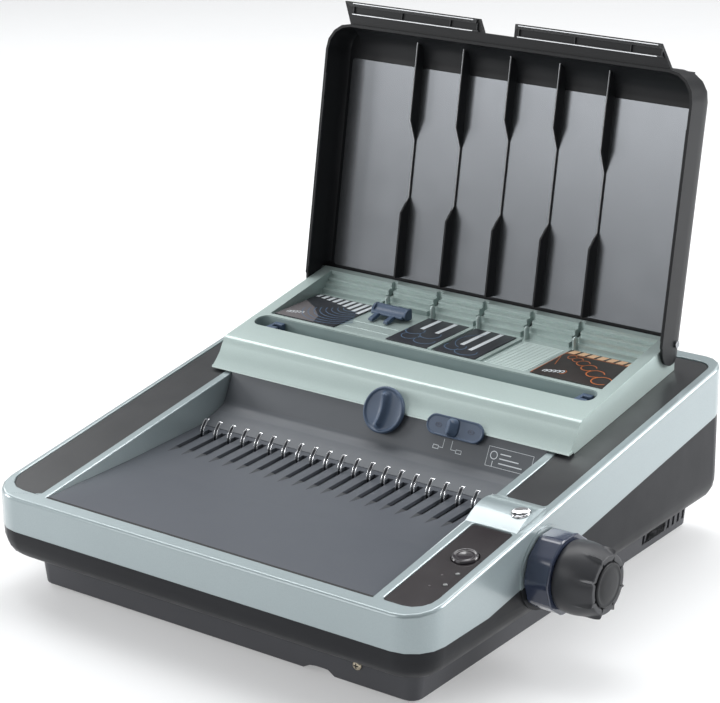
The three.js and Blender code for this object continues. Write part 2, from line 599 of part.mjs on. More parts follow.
// ---------------------------------------------------------------- comb opener
function hookBar() {
  const bar = box(-150, 150, -72, -26, 76.8, 78.8);
  const racks = [-1, 1].map((side) => {
    const teeth = [];
    for (let k = -2; k <= 9; k += 1) {
      const y = SHAFT.y + (k + 0.5) * Math.PI * COMB_PINION.module;
      teeth.push([y - 1.05, 76.4], [y - 0.42, 74.7], [y + 0.42, 74.7], [y + 1.05, 76.4]);
    }
    const first = teeth[0][0] - 1;
    const last = teeth[teeth.length - 1][0] + 1;
    const x = side * COMB_PINION.x;
    return prismX([[last, 77.4], [first, 77.4], [first, 76.4], ...teeth, [last, 76.4]], x - 3.6, x + 3.6);
  });
  const half = HOOKS.width / 2;
  const finger = [
    [-6.6, -19.6], [-7.8, -19.6], [-7.8, -12.5], [-6.8, -7.6], [-3.5, -2.6], [0, -0.2], [1.9, 0], [3.4, -0.8],
    [3.8, -2.6], [2.6, -2.6], [2.3, -1.6], [1.6, -1.2], [0.4, -1.5], [-2.6, -4], [-5.6, -8.1], [-6.6, -12.7],
  ].map(([y, z]) => [HOOKS.y + y, HOOKS.top + z]);
  const hooks = hookIndices.map((i) => prismX(finger, hookX(i) - half, hookX(i) + half));
  return join(bar, [...racks, ...hooks]);
}

function combPinion(x) {
  const half = COMB_PINION.width / 2;
  const { teeth, module } = COMB_PINION;
  const shape = gearShape(teeth, module, SHAFT.r + GAP, Math.PI / teeth);
  return wheelX(shape, x - half, x + half, SHAFT.y, SHAFT.z);
}

// a solid of revolution about the comb shaft from [x, r] pairs; its bore clears the shaft
function turned(profile, sides = 30) {
  return lathe(profile.map(([x, r]) => [r, x]), sides)
    .rotateZ(-Math.PI / 2)
    .translate(0, SHAFT.y, SHAFT.z);
}

function stopRing() {
  const { x0, x1, r, bore, flats } = RING;
  const ring = turned([
    [x0, bore], [x0, r - 0.8], [x0 + 0.8, r], [x1 - 1.2, r + 0.6], [x1, r - 0.6], [x1, bore],
    [x0, bore]]);
  const facets = Array.from({ length: flats }, (_, i) => box(x0 + 2.5, x1 + 5, -6, 6, r - 0.6, r + 5)
    .rotateX(i * 2 * Math.PI / flats)
    .translate(0, SHAFT.y, SHAFT.z));
  return cut(ring, facets);
}

function combKnob() {
  const x0 = RING.x1 + GAP;
  const bore = SHAFT.r + GAP;
  const body = turned([[x0, bore], [x0, KNOB.rBase], [x0 + 6, KNOB.rBelly], [x0 + 16, KNOB.rBelly - 0.6],
    [x0 + 26, KNOB.rBelly - 3], [KNOB.x1 - 3, KNOB.rEnd + 2], [KNOB.x1, KNOB.rEnd],
    [KNOB.x1, KNOB.rCap + 0.4], [KNOB.x1 - 2.4, KNOB.rCap + 0.4], [KNOB.x1 - 2.4, 12], [KNOB.x1 - 18, 12],
    [KNOB.x1 - 18, bore], [x0, bore],
  ]);
  const ridgeSide = outline([[x0 + 8, 19], [KNOB.x1 - 1, 19], [KNOB.x1 - 1, KNOB.rEnd + 1.5],
    [x0 + 24, KNOB.rBelly - 0.2], [x0 + 12, KNOB.rBelly + 0.3]]);
  const ridges = Array.from({ length: KNOB.ridges }, (_, i) => extrude(ridgeSide, 2.2)
    .translate(0, 0, -1.1)
    .rotateX((i + 0.5) * 2 * Math.PI / KNOB.ridges)
    .translate(0, SHAFT.y, SHAFT.z));
  return join(body, ridges);
}

function shaftBracket(x) {
  const plate = box(x - 1.5, x + 1.5, SHAFT.y - 17.5, SHAFT.y + 17.5, CHASSIS.z1 + GAP, 73.6);
  return cut(plate, [barX(SHAFT.r + GAP, x - 5, x + 5, SHAFT.y, SHAFT.z)]);
}

add('hook_bar', hookBar(), CHROME);
add('comb_shaft', barX(SHAFT.r, -146, 240, SHAFT.y, SHAFT.z), STEEL);
add('comb_pinion_left', combPinion(-COMB_PINION.x), STEEL);
add('comb_pinion_right', combPinion(COMB_PINION.x), STEEL);
add('shaft_bracket_left', shaftBracket(-138), STEEL);
add('shaft_bracket_right', shaftBracket(138), STEEL);
add('stop_ring', stopRing(), NAVY);
add('comb_knob', combKnob(), KNOB_BLACK);
add('knob_cap', turned([[KNOB.x1 - 2.1, 0], [KNOB.x1 - 2.1, KNOB.rCap], [KNOB.x1 + 1.4, KNOB.rCap - 0.4],
  [KNOB.x1 + 2.5, KNOB.rCap - 3.6], [KNOB.x1 + 2.5, 0]]), KNOB_BLACK);

// ---------------------------------------------------------------- controls on the deck
const discZ = (profile, sides = 24) => lathe(profile, sides).rotateX(Math.PI / 2);
const buttonProfile = [
  [0, -8], [6, -8], [6, -3.6], [BUTTON.r, -3.6], [BUTTON.r, 1], [9.4, 2], [7, 1.4], [0, 0.9],
];
const ledProfile = [[0, -5], [LEDS.r, -5], [LEDS.r, 0.2], [1.2, 0.7], [0, 0.8]];
const windowProfile = [
  [0, -WINDOW.sunk + GAP], [WINDOW.r, -WINDOW.sunk + GAP], [WINDOW.r, 0.4], [WINDOW.r - 1, 1.2], [0, 1.6],
];
add('punch_button', discZ(buttonProfile), GLOSS_PANEL, buttonPlace);
for (const [name, place] of ledPlaces) add(name, discZ(ledProfile, 12), LED_GREEN, place);
add('bridge_window', discZ(windowProfile), CHROME, windowPlace);

// ---------------------------------------------------------------- punch mechanism
function chassis() {
  const plan = roundedRect(-CHASSIS.x, CHASSIS.x, CHASSIS.front, CHASSIS.rear, [8, 8, 8, 8]);
  const base = prismZ(outline(plan),
    CHASSIS.z0, CHASSIS.z1);
  return cut(base, [box(-148, 118, 62, 92, 10, 40)]);
}

function diePlate(y0, y1) {
  const holes = hookIndices.map((i) =>
    box(hookX(i) - 4.3, hookX(i) + 4.3, y0 - 5, y1 + 5, DIE.holeZ - 1.8, DIE.holeZ + 1.8));
  return cut(box(-DIE.x, DIE.x, y0, y1, DIE.z0, DIE.z1), holes);
}

function punchBar() {
  const bar = box(-148, 148, 91, 99, DIE.holeZ - 5, DIE.holeZ + 9);
  const pins = hookIndices.map((i) =>
    box(hookX(i) - 4, hookX(i) + 4, DIE.gap1 + 0.6, 92, DIE.holeZ - 1.5, DIE.holeZ + 1.5));
  return join(bar, pins);
}

function camShaft() {
  const shaft = barX(CAM.r, -151, 165, CAM.y, CAM.z, 18);
  const lobes = [-70, 70].map((x) => barX(CAM.lobe, x - 5, x + 5, CAM.y + CAM.throw, CAM.z, 32));
  return join(shaft, lobes);
}

function sidePlate(side) {
  const x = [side * SIDE_PLATE.x0, side * SIDE_PLATE.x1].sort((a, b) => a - b);
  const wall = box(x[0], x[1], SIDE_PLATE.y0, SIDE_PLATE.y1, CHASSIS.z1 + GAP, SIDE_PLATE.z1);
  const bores = [barX(CAM.r + GAP, x[0] - 5, x[1] + 5, CAM.y, CAM.z, 18)];
  if (side > 0) bores.push(barX(6, x[0] - 5, x[1] + 5, MOTOR.y, MOTOR.z, 18));
  return cut(wall, bores);
}

function motorBody() {
  const can = barX(MOTOR.r, MOTOR.x0, MOTOR.x1, MOTOR.y, MOTOR.z, 28);
  const foot = box(MOTOR.x0 + 8, MOTOR.x1 - 8, MOTOR.y - 22, MOTOR.y + 22, CHASSIS.z1 + GAP, MOTOR.z - 14);
  const rotorBore = barX(DRIVE.rotor + 0.4, MOTOR.x1 - 20, MOTOR.x1 + 5, MOTOR.y, MOTOR.z, 18);
  return cut(join(can, [foot]), [rotorBore]);
}

function motorRotor() {
  const pitchLine = Math.atan2(CAM.z - MOTOR.z, CAM.y - MOTOR.y);
  const teeth = gearShape(DRIVE.pinionTeeth, DRIVE.module, 3, pitchLine);
  const pinion = wheelX(teeth, DRIVE.x0, DRIVE.x1, MOTOR.y, MOTOR.z);
  return join(pinion, [barX(DRIVE.rotor, MOTOR.x1 - 18, DRIVE.x1, MOTOR.y, MOTOR.z, 18)]);
}

function driveGear() {
  const toMotor = Math.atan2(MOTOR.z - CAM.z, MOTOR.y - CAM.y);
  const shape = gearShape(DRIVE.gearTeeth, DRIVE.module, CAM.r + GAP, toMotor + Math.PI / DRIVE.gearTeeth);
  return wheelX(shape, DRIVE.x0, DRIVE.x1, CAM.y, CAM.z);
}

add('chassis_plate', chassis(), STEEL);
add('die_plate_front', diePlate(DIE.y0, DIE.gap0), STEEL);
add('die_plate_rear', diePlate(DIE.gap1, DIE.y1), STEEL);
add('punch_bar', punchBar(), STEEL);
add('cam_shaft', camShaft(), STEEL);
add('drive_gear', driveGear(), paint(0xd8d4c8, 0.5));
add('side_plate_left', sidePlate(-1), STEEL);
add('side_plate_right', sidePlate(1), STEEL);
add('motor', motorBody(), STEEL);
add('motor_rotor', motorRotor(), STEEL);

// ---------------------------------------------------------------- electrics and waste
function circuitBoard() {
  const { x0, x1, y0, y1, z0, z1 } = BOARD_PLATE;
  const board = box(x0, x1, y0, y1, z0, z1);
  const parts = [
    box(x0 + 6, x0 + 26, y0 + 6, y0 + 32, z1 - 0.6, z1 + 14.4),
    box(x0 + 38, x0 + 52, y0 + 8, y0 + 22, z1 - 0.6, z1 + 11.4),
    box(x1 - 38, x1 - 10, y1 - 40, y1 - 8, z1 - 0.6, z1 + 8.4),
  ];
  const corners = [[x0 + 4, y0 + 4], [x1 - 4, y0 + 4], [x0 + 4, y1 - 4], [x1 - 4, y1 - 4]];
  const posts = corners.map(([x, y]) => box(x - 3, x + 3, y - 3, y + 3, CHASSIS.z1 + GAP, z0 + 0.5));
  return join(board, [...parts, ...posts]);
}

function chipDrawer() {
  const shell = box(DRAWER.x0, DRAWER.x1, DRAWER.y0, DRAWER.y1, DRAWER.z0, DRAWER.z1);
  const inside = box(DRAWER.x0 + 9, DRAWER.x1 - 2, DRAWER.y0 + 2, DRAWER.y1 - 2,
    DRAWER.z0 + 1.6, DRAWER.z1 + 5);
  const grip = box(DRAWER.x0 - 5, DRAWER.x0 + 6, 70, 100, DRAWER.z0 + 4, DRAWER.z1 + 5);
  return cut(shell, [inside, grip]);
}

function mainsInlet() {
  const { x0, x1, z0, z1, proud, well } = INLET;
  const mid = (x0 + x1) / 2;
  const body = box(x0, x1, well - 6, proud, z0, z1);
  const socket = box(x0 + 3.5, x1 - 3.5, well, proud + 5, z0 + 3.5, z1 - 3.5);
  const blades = [[mid - 5, 47], [mid + 5, 47], [mid, 42]].map(([x, z]) =>
    box(x - 1, x + 1, well - 1, well + 5, z - 2, z + 2));
  return join(cut(body, [socket]), blades);
}

const switchSeat = new THREE.Group();
switchSeat.position.set(SWITCH.x, SWITCH.y, SWITCH.z);
machine.add(switchSeat);
add('circuit_board', circuitBoard(), BOARD);
const transformerCore = box(-20, 36, 128, 184, CHASSIS.z1 + GAP, 70);
add('transformer', join(transformerCore, [box(-12, 28, 118, 194, 34, 60)]), COPPER);
add('chip_drawer', chipDrawer(), CASING);
add('mains_inlet', mainsInlet(), RUBBER);
add('power_switch',
  prismX([[-6, -3], [3.2, -6], [4.2, 0], [2.2, 6], [-6, 3]], -SWITCH.half, SWITCH.half),
  RUBBER, switchSeat);

// ---------------------------------------------------------------- origin in the middle of the footprint
machine.updateMatrixWorld(true);
const bounds = new THREE.Box3().setFromObject(machine, true);
machine.position.set(-(bounds.min.x + bounds.max.x) / 2, -(bounds.min.y + bounds.max.y) / 2, -bounds.min.z);

const object = new THREE.Group();
object.add(machine);

export default object;
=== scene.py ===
"""Looks for the comb binding machine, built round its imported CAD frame.

Shapes are written in machine millimetres: x = 0 is the machine's symmetry plane, z = 0 the underside of the
plinth, and y runs from front to back. piece() turns them into the row frame, whose metres every object uses.
"""
import json
import math

import bmesh
import bpy
from mathutils import Matrix, Vector


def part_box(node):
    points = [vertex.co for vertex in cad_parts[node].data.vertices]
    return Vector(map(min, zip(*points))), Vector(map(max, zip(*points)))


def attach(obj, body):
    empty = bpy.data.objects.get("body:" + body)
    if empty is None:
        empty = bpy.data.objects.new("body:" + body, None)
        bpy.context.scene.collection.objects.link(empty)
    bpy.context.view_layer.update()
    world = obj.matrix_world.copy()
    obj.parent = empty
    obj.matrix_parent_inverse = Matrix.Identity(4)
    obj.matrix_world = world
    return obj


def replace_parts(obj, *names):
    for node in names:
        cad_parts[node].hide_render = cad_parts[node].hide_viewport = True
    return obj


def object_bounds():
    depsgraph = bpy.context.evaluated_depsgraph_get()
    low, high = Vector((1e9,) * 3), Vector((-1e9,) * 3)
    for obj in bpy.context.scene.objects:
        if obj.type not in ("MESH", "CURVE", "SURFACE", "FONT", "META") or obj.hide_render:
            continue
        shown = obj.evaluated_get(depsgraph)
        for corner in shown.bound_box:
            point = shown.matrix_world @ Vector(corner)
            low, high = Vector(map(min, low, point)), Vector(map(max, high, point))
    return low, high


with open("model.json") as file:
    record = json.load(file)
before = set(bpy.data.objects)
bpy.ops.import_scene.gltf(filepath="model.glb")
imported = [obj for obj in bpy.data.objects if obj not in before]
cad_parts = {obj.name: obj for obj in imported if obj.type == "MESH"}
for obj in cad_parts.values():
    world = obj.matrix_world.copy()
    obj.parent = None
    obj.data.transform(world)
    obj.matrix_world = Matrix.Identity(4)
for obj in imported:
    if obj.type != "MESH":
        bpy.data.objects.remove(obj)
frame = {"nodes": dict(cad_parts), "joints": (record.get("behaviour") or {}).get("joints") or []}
CAD_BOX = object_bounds()

MM = 0.001
HOUSING = "housing"

# ---------------------------------------------------------------- the frame's own anchors
PLINTH_FRONT = -194.2
plinth_low, plinth_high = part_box("base_plinth")
ORIGIN = Vector(((plinth_low.x + plinth_high.x) / 2, plinth_low.y - PLINTH_FRONT * MM, plinth_low.z))
JOINTS = {joint["name"]: joint for joint in frame["joints"]}


def in_machine(point):
    """A row-frame point in machine millimetres."""
    return (Vector(point) - ORIGIN) / MM


def machine_box(node):
    """A CAD node's lowest and highest corners in machine millimetres."""
    low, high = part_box(node)
    return in_machine(low), in_machine(high)


def tilted(position, normal):
    """A place whose local +Z is the normal and whose local +X runs along the machine."""
    z = Vector(normal).normalized()
    x = Vector((1, 0, 0))
    y = z.cross(x)
    turn = Matrix((x, y, z)).transposed().to_4x4()
    return Matrix.Translation(position) @ turn


SHAFT = in_machine(JOINTS["comb_knob_turn"]["pos_m"])
DIAL_PLACE = tilted(in_machine(JOINTS["depth_dial_turn"]["pos_m"]), JOINTS["depth_dial_turn"]["axis"])
DECK_NORMAL = Vector(JOINTS["punch_button_press"]["axis"])
SLOPE = -DECK_NORMAL.y / DECK_NORMAL.z
TOP_Y, TOP_Z = -208.1, 84.5          # a point on the sloping silver top
TOP_SLACK = 0.8                      # how far off the top or its outline a vertex may lie and count as on it
RECESS = 1.0                         # depth of the dark side panels under the silver
LID_LEAN = math.radians(10.33)       # how far the open lid leans back
LID_AXIS = 7.5                       # hinge axis in front of the lid's inner face
HINGE = in_machine(JOINTS["lid_hinge"]["pos_m"])
LID_IN = Vector((0, -math.cos(LID_LEAN), math.sin(LID_LEAN)))
LID_PLACE = tilted(Vector((0, HINGE.y, HINGE.z)) - LID_IN * LID_AXIS, LID_IN)
FIN_X = (-98, -50.2, -2.5, 45.8, 93.5)   # the lid's fins, and the tray's notches that take them
HOOK_PITCH = 14.2875
HOOKS = [(i - 10) * HOOK_PITCH for i in range(21)]


def top_z(y):
    """Height of the sloping silver top."""
    return TOP_Z + SLOPE * (y - TOP_Y)


def on_deck(x, y, lift):
    """A place on the sloping top, raised by lift, with its local +Z square to the slope."""
    return tilted(Vector((x, y, top_z(y) + lift)), DECK_NORMAL)


# ---------------------------------------------------------------- materials
def linear(rgb):
    """Linear colour from a colour as 0 to 255 screen values."""
    return tuple((c / 255 / 12.92) if c <= 10 else ((c / 255 + 0.055) / 1.055) ** 2.4 for c in rgb)


def new_material(name):
    """A material with a bare Principled shader, and its nodes, links and shader."""
    material = bpy.data.materials.new(name)
    material.use_nodes = True
    nodes, links = material.node_tree.nodes, material.node_tree.links
    nodes.clear()
    shader = nodes.new("ShaderNodeBsdfPrincipled")
    output = nodes.new("ShaderNodeOutputMaterial")
    links.new(shader.outputs["BSDF"], output.inputs["Surface"])
    return material, nodes, links, shader


def noise(nodes, links, coordinates, scale, detail):
    """A noise pattern's value, mostly between 0.3 and 0.7."""
    texture = nodes.new("ShaderNodeTexNoise")
    texture.inputs["Scale"].default_value = scale
    texture.inputs["Detail"].default_value = detail
    texture.inputs["Roughness"].default_value = 0.55
    links.new(coordinates, texture.inputs["Vector"])
    return texture.outputs["Fac"]


def span(nodes, links, value, low, high):
    """value, which lies mostly between 0.3 and 0.7, stretched to run from low to high."""
    ramp = nodes.new("ShaderNodeMapRange")
    ramp.inputs["From Min"].default_value = 0.3
    ramp.inputs["From Max"].default_value = 0.7
    ramp.inputs["To Min"].default_value = low
    ramp.inputs["To Max"].default_value = high
    links.new(value, ramp.inputs["Value"])
    return ramp.outputs["Result"]


# how many times each pattern repeats in a metre
SLOW_SCALE, GLOSS_SCALE, FLAKE_SCALE = 14.0, 45.0, 2600.0
GRAIN_DEPTH = 0.0002                 # metres
MIX_FACTOR, MIX_A, MIX_B, MIX_COLOUR = 0, 6, 7, 2    # a colour mix node's sockets


def colour_mix(nodes):
    """A node that mixes two colours."""
    mix = nodes.new("ShaderNodeMix")
    mix.data_type = "RGBA"
    return mix


def surface(name, rgb, rough, metal=0.0, specular=0.5, coat=0.0, vary=0.05, rough_vary=0.04,
            grain=900.0, bump=0.08, flakes=0.0, stretch=(1, 1, 1)):
    """A moulded, painted or metal surface: slow colour and gloss changes, fine grain, and flakes in paint."""
    material, nodes, links, shader = new_material(name)
    shader.inputs["Metallic"].default_value = metal
    shader.inputs["Specular IOR Level"].default_value = specular
    shader.inputs["IOR"].default_value = 1.5
    shader.inputs["Coat Weight"].default_value = coat
    shader.inputs["Coat Roughness"].default_value = 0.12
    place = nodes.new("ShaderNodeTexCoord")
    mapping = nodes.new("ShaderNodeMapping")
    mapping.inputs["Scale"].default_value = stretch
    links.new(place.outputs["Object"], mapping.inputs["Vector"])
    coordinates = mapping.outputs["Vector"]
    base = linear(rgb)
    slow = noise(nodes, links, coordinates, SLOW_SCALE, 4.0)
    mix = colour_mix(nodes)
    mix.inputs[MIX_A].default_value = (*[c * (1 - vary) for c in base], 1)
    mix.inputs[MIX_B].default_value = (*[min(1, c * (1 + vary)) for c in base], 1)
    links.new(span(nodes, links, slow, 0, 1), mix.inputs[MIX_FACTOR])
    colour = mix.outputs[MIX_COLOUR]
    if flakes:
        cells = nodes.new("ShaderNodeTexVoronoi")
        cells.inputs["Scale"].default_value = FLAKE_SCALE
        links.new(coordinates, cells.inputs["Vector"])
        grey = nodes.new("ShaderNodeRGBToBW")
        links.new(cells.outputs["Color"], grey.inputs["Color"])
        tint = colour_mix(nodes)
        tint.blend_type = "OVERLAY"
        tint.inputs[MIX_FACTOR].default_value = flakes
        links.new(colour, tint.inputs[MIX_A])
        links.new(grey.outputs["Val"], tint.inputs[MIX_B])
        colour = tint.outputs[MIX_COLOUR]
    links.new(colour, shader.inputs["Base Color"])
    gloss = span(nodes, links, noise(nodes, links, coordinates, GLOSS_SCALE, 3.0),
                 max(0.02, rough - rough_vary), rough + rough_vary)
    links.new(gloss, shader.inputs["Roughness"])
    if bump:
        relief = nodes.new("ShaderNodeBump")
        relief.inputs["Strength"].default_value = bump
        relief.inputs["Distance"].default_value = GRAIN_DEPTH
        links.new(noise(nodes, links, coordinates, grain, 2.0), relief.inputs["Height"])
        links.new(relief.outputs["Normal"], shader.inputs["Normal"])
    return material


METAL_PAINT = {"flakes": 0.05, "bump": 0.02, "grain": 1500, "vary": 0.015, "rough_vary": 0.012}
SILVER = surface("silver_paint", (151, 164, 167), 0.3, metal=0.3, coat=0.9, **METAL_PAINT)
SEA_SILVER = surface("sea_silver_paint", (174, 190, 187), 0.34, metal=0.25, coat=0.4, **METAL_PAINT)
CASING = surface("casing_black", (37, 38, 41), 0.36, specular=0.15, bump=0.06, grain=1400)
PLINTH = surface("plinth_black", (72, 73, 77), 0.42, specular=0.3, bump=0.08, grain=1400)
TABLE = surface("table_grey", (75, 79, 86), 0.42, bump=0.12, grain=1600, rough_vary=0.015, vary=0.015)
FASCIA = surface("fascia_grey", (92, 96, 101), 0.46, specular=0.3, bump=0.1, grain=1600)
TROUGH = surface("trough_black", (50, 51, 53), 0.36, specular=0.35, bump=0.05)
PANEL = surface("panel_gloss", (44, 40, 42), 0.2, coat=0.3, bump=0.01)
LID_BLACK = surface("lid_black", (30, 31, 33), 0.36, specular=0.2, bump=0.02, vary=0.02, rough_vary=0.01)
# grey metal standing in for the lamp's reflection in the black lid: painted reflection
LID_REFLECTION = surface("lid_painted_reflection", (128, 131, 135), 0.25, metal=0.9, vary=0.03, bump=0.01, rough_vary=0.015)
CHANNEL_SILVER = surface("channel_silver", (142, 158, 158), 0.42, bump=0.03)
SLATE = surface("slate_blue", (74, 90, 112), 0.4, specular=0.35, coat=0.05, bump=0.03)
NAVY = surface("ring_navy", (52, 60, 80), 0.22, coat=0.6, bump=0.0, rough_vary=0.01)
KNOB_BLACK = surface("knob_black", (56, 57, 60), 0.4, specular=0.35, bump=0.03)
KNOB_END = surface("knob_end", (42, 43, 45), 0.42, specular=0.2, bump=0.03)
CHROME = surface("chrome", (215, 216, 218), 0.12, metal=1.0, vary=0.02, rough_vary=0.03, bump=0.0)
STEEL = surface("steel", (150, 152, 155), 0.34, metal=0.9, stretch=(1, 8, 8), bump=0.08, grain=500)
RUBBER = surface("rubber", (36, 36, 37), 0.8, bump=0.3, grain=700)
LABEL_DARK = surface("label_dark", (42, 44, 50), 0.4, bump=0.02)
LABEL_GREY = surface("label_grey", (104, 100, 102), 0.4, bump=0.02)
LABEL_WARM = surface("label_warm", (46, 40, 38), 0.4, bump=0.02)
INK_WHITE = surface("ink_white", (216, 222, 226), 0.45, bump=0.0)
INK_COOL = surface("ink_cool", (86, 112, 140), 0.45, bump=0.0)
INK_ORANGE = surface("ink_orange", (196, 112, 58), 0.45, bump=0.0)
INK_PEACH = surface("ink_peach", (238, 196, 156), 0.45, bump=0.0)
BOARD = surface("board_green", (30, 90, 56), 0.4, bump=0.1, vary=0.1)
COPPER = surface("winding_copper", (150, 92, 56), 0.4, metal=0.5, stretch=(30, 1, 1), bump=0.3, grain=120,
                 vary=0.15)
NYLON = surface("gear_nylon", (214, 208, 192), 0.45, bump=0.05)
# near-white strips and wires standing in for the shine on the black lid's edges: painted highlight
LID_HIGHLIGHT = surface("lid_painted_highlight", (206, 208, 211), 0.35, metal=0.6, bump=0.0)
LID_TRIM = surface("lid_trim", (44, 45, 47), 0.3, specular=0.3, bump=0.0)
SLATE_DARK = surface("slate_dark", (58, 68, 90), 0.4, bump=0.0)
BUTTON_BLACK = surface("button_black", (50, 46, 50), 0.16, coat=0.4, bump=0.0)
# a dark metal for the flats of the steel hook fingers: painted shade
HOOK_WEB_SHADE = surface("hook_web_painted_shade", (58, 60, 64), 0.28, metal=0.9, bump=0.0)
# dark grey standing in for the shade in the table's shallow grooves: painted shade
GROOVE_SHADE = surface("table_groove_shade", (46, 49, 53), 0.55, bump=0.02)
INK_DIM = surface("ink_dim", (74, 70, 72), 0.45, bump=0.0)
SCREW_METAL = surface("screw_metal", (190, 180, 160), 0.25, metal=1.0, bump=0.0)
LED_CLEAR = surface("led_clear", (112, 114, 114), 0.2, coat=0.3, bump=0.0)
# near-black standing in for the shade in gaps and recesses: painted shade
PAINTED_SHADE = surface("painted_shade", (22, 22, 23), 0.6, bump=0.02)


# ---------------------------------------------------------------- solids in machine millimetres
def prism(points, depth, to_space):
    """A closed outline and the same outline moved on by depth, both put in space by to_space(a, b, c)."""
    count = len(points)
    low, high = depth
    verts = [to_space(a, b, low) for a, b in points] + [to_space(a, b, high) for a, b in points]
    faces = [tuple(range(count))[::-1], tuple(range(count, 2 * count))]
    faces += [(i, (i + 1) % count, (i + 1) % count + count, i + count) for i in range(count)]
    return verts, faces


def prism_x(points, x0, x1):
    """An outline of (y, z) pairs, counted anticlockwise seen from +X, run along X."""
    return prism(points, (x0, x1), lambda a, b, c: (c, a, b))


def prism_z(points, z0, z1):
    """An outline of (x, y) pairs, counted anticlockwise seen from +Z, run along Z."""
    return prism(points, (z0, z1), lambda a, b, c: (a, b, c))


def block(x0, x1, y0, y1, z0, z1):
    """A box between two values on each axis."""
    return prism_z([(x0, y0), (x1, y0), (x1, y1), (x0, y1)], z0, z1)


CORNER_STEPS = 8


def rounded(x0, x1, y0, y1, r):
    """The outline of a rectangle whose corners are rounded to radius r."""
    points = []
    corners = ((x0 + r, y0 + r, 180), (x1 - r, y0 + r, 270), (x1 - r, y1 - r, 0), (x0 + r, y1 - r, 90))
    for cx, cy, start in corners:
        for i in range(CORNER_STEPS + 1):
            a = math.radians(start + 90 * i / CORNER_STEPS)
            points.append((cx + r * math.cos(a), cy + r * math.sin(a)))
    return points


def circle(r, i, sides):
    """Corner i of a circle of radius r that has the given number of sides."""
    a = 2 * math.pi * i / sides
    return r * math.cos(a), r * math.sin(a)


def grid(rows, cap=True):
    """A skin through rows of points; every row has the same count and closes on itself."""
    count = len(rows[0])
    verts = [p for row in rows for p in row]
    faces = []
    for r in range(len(rows) - 1):
        for i in range(count):
            a, b = r * count + i, r * count + (i + 1) % count
            faces.append((a, b, b + count, a + count))
    if cap:
        faces.append(tuple(range(count))[::-1])
        faces.append(tuple(range((len(rows) - 1) * count, len(rows) * count)))
    return verts, faces


def turned(profile, sides=96, radius=lambda h, r, turn: r):
    """A solid of revolution about local Z from (height, radius) pairs; radius() may shape its outline."""
    return grid([[(*circle(radius(h, r, 2 * math.pi * i / sides), i, sides), h) for i in range(sides)]
                 for h, r in profile])


def wire(path, radius, sides):
    """A round wire along a path of points."""
    points = [Vector(p) for p in path]
    rows = []
    side = None
    for i, point in enumerate(points):
        before, after = points[max(i - 1, 0)], points[min(i + 1, len(points) - 1)]
        along = (after - before).normalized()
        if side is None:
            side = along.orthogonal().normalized()
        side = (side - along * side.dot(along)).normalized()
        up = along.cross(side)
        ring = [circle(radius, k, sides) for k in range(sides)]
        rows.append([point + a * side + b * up for a, b in ring])
    return grid(rows)


def moved(solid, place):
    """A solid put at a place."""
    verts, faces = solid
    return [place @ Vector(v) for v in verts], faces


def flat_ring(cx, cy, rx, ry, width, start=0.0, end=360.0, steps=24, height=0.12):
    """A printed arc or ring lying in the local XY plane, as one thin closed solid."""
    rows = []
    for i in range(steps + 1):
        a = math.radians(start + (end - start) * i / steps)
        outer, inner = [(cx + (rx + side * width) * math.cos(a), cy + (ry + side * width) * math.sin(a))
                        for side in (0.5, -0.5)]
        rows.append([(*outer, 0), (*inner, 0), (*inner, height), (*outer, height)])
    return grid(rows, cap=end - start < 360)


# ---------------------------------------------------------------- pieces
SOFT_ANGLE = math.radians(32)        # edges sharper than this get a bevel


def add_object(name, mesh, bm, body, material, bevel, sharp, segments=2, weighted=False):
    """The object made from bm, with softened edges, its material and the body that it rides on."""
    for face in bm.faces:
        face.smooth = True
    for edge in bm.edges:
        edge.smooth = not (len(edge.link_faces) == 2 and edge.calc_face_angle(0.0) > math.radians(sharp))
    bm.to_mesh(mesh)
    bm.free()
    mesh.materials.append(material)
    obj = bpy.data.objects.new(name, mesh)
    bpy.context.scene.collection.objects.link(obj)
    if bevel:
        soften = obj.modifiers.new("edges", "BEVEL")
        soften.width = bevel * MM
        soften.segments = segments
        soften.limit_method = "WEIGHT" if weighted else "ANGLE"
        soften.angle_limit = SOFT_ANGLE
        soften.use_clamp_overlap = not weighted
        soften.miter_outer = "MITER_ARC"
    even = obj.modifiers.new("normals", "WEIGHTED_NORMAL")
    even.keep_sharp = True
    even.weight = 60
    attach(obj, body)
    return obj


def piece(name, solids, body, material, bevel=0.3, place=None, sharp=50):
    """One object from solids in machine millimetres, riding on a body."""
    bm = bmesh.new()
    for solid in solids:
        verts, faces = moved(solid, place) if place is not None else solid
        made = [bm.verts.new(ORIGIN + Vector(v) * MM) for v in verts]
        for face in faces:
            bm.faces.new([made[i] for i in face])
    bmesh.ops.remove_doubles(bm, verts=bm.verts, dist=1e-7)
    bmesh.ops.recalc_face_normals(bm, faces=bm.faces)
    return add_object(name, bpy.data.meshes.new(name), bm, body, material, bevel, sharp)


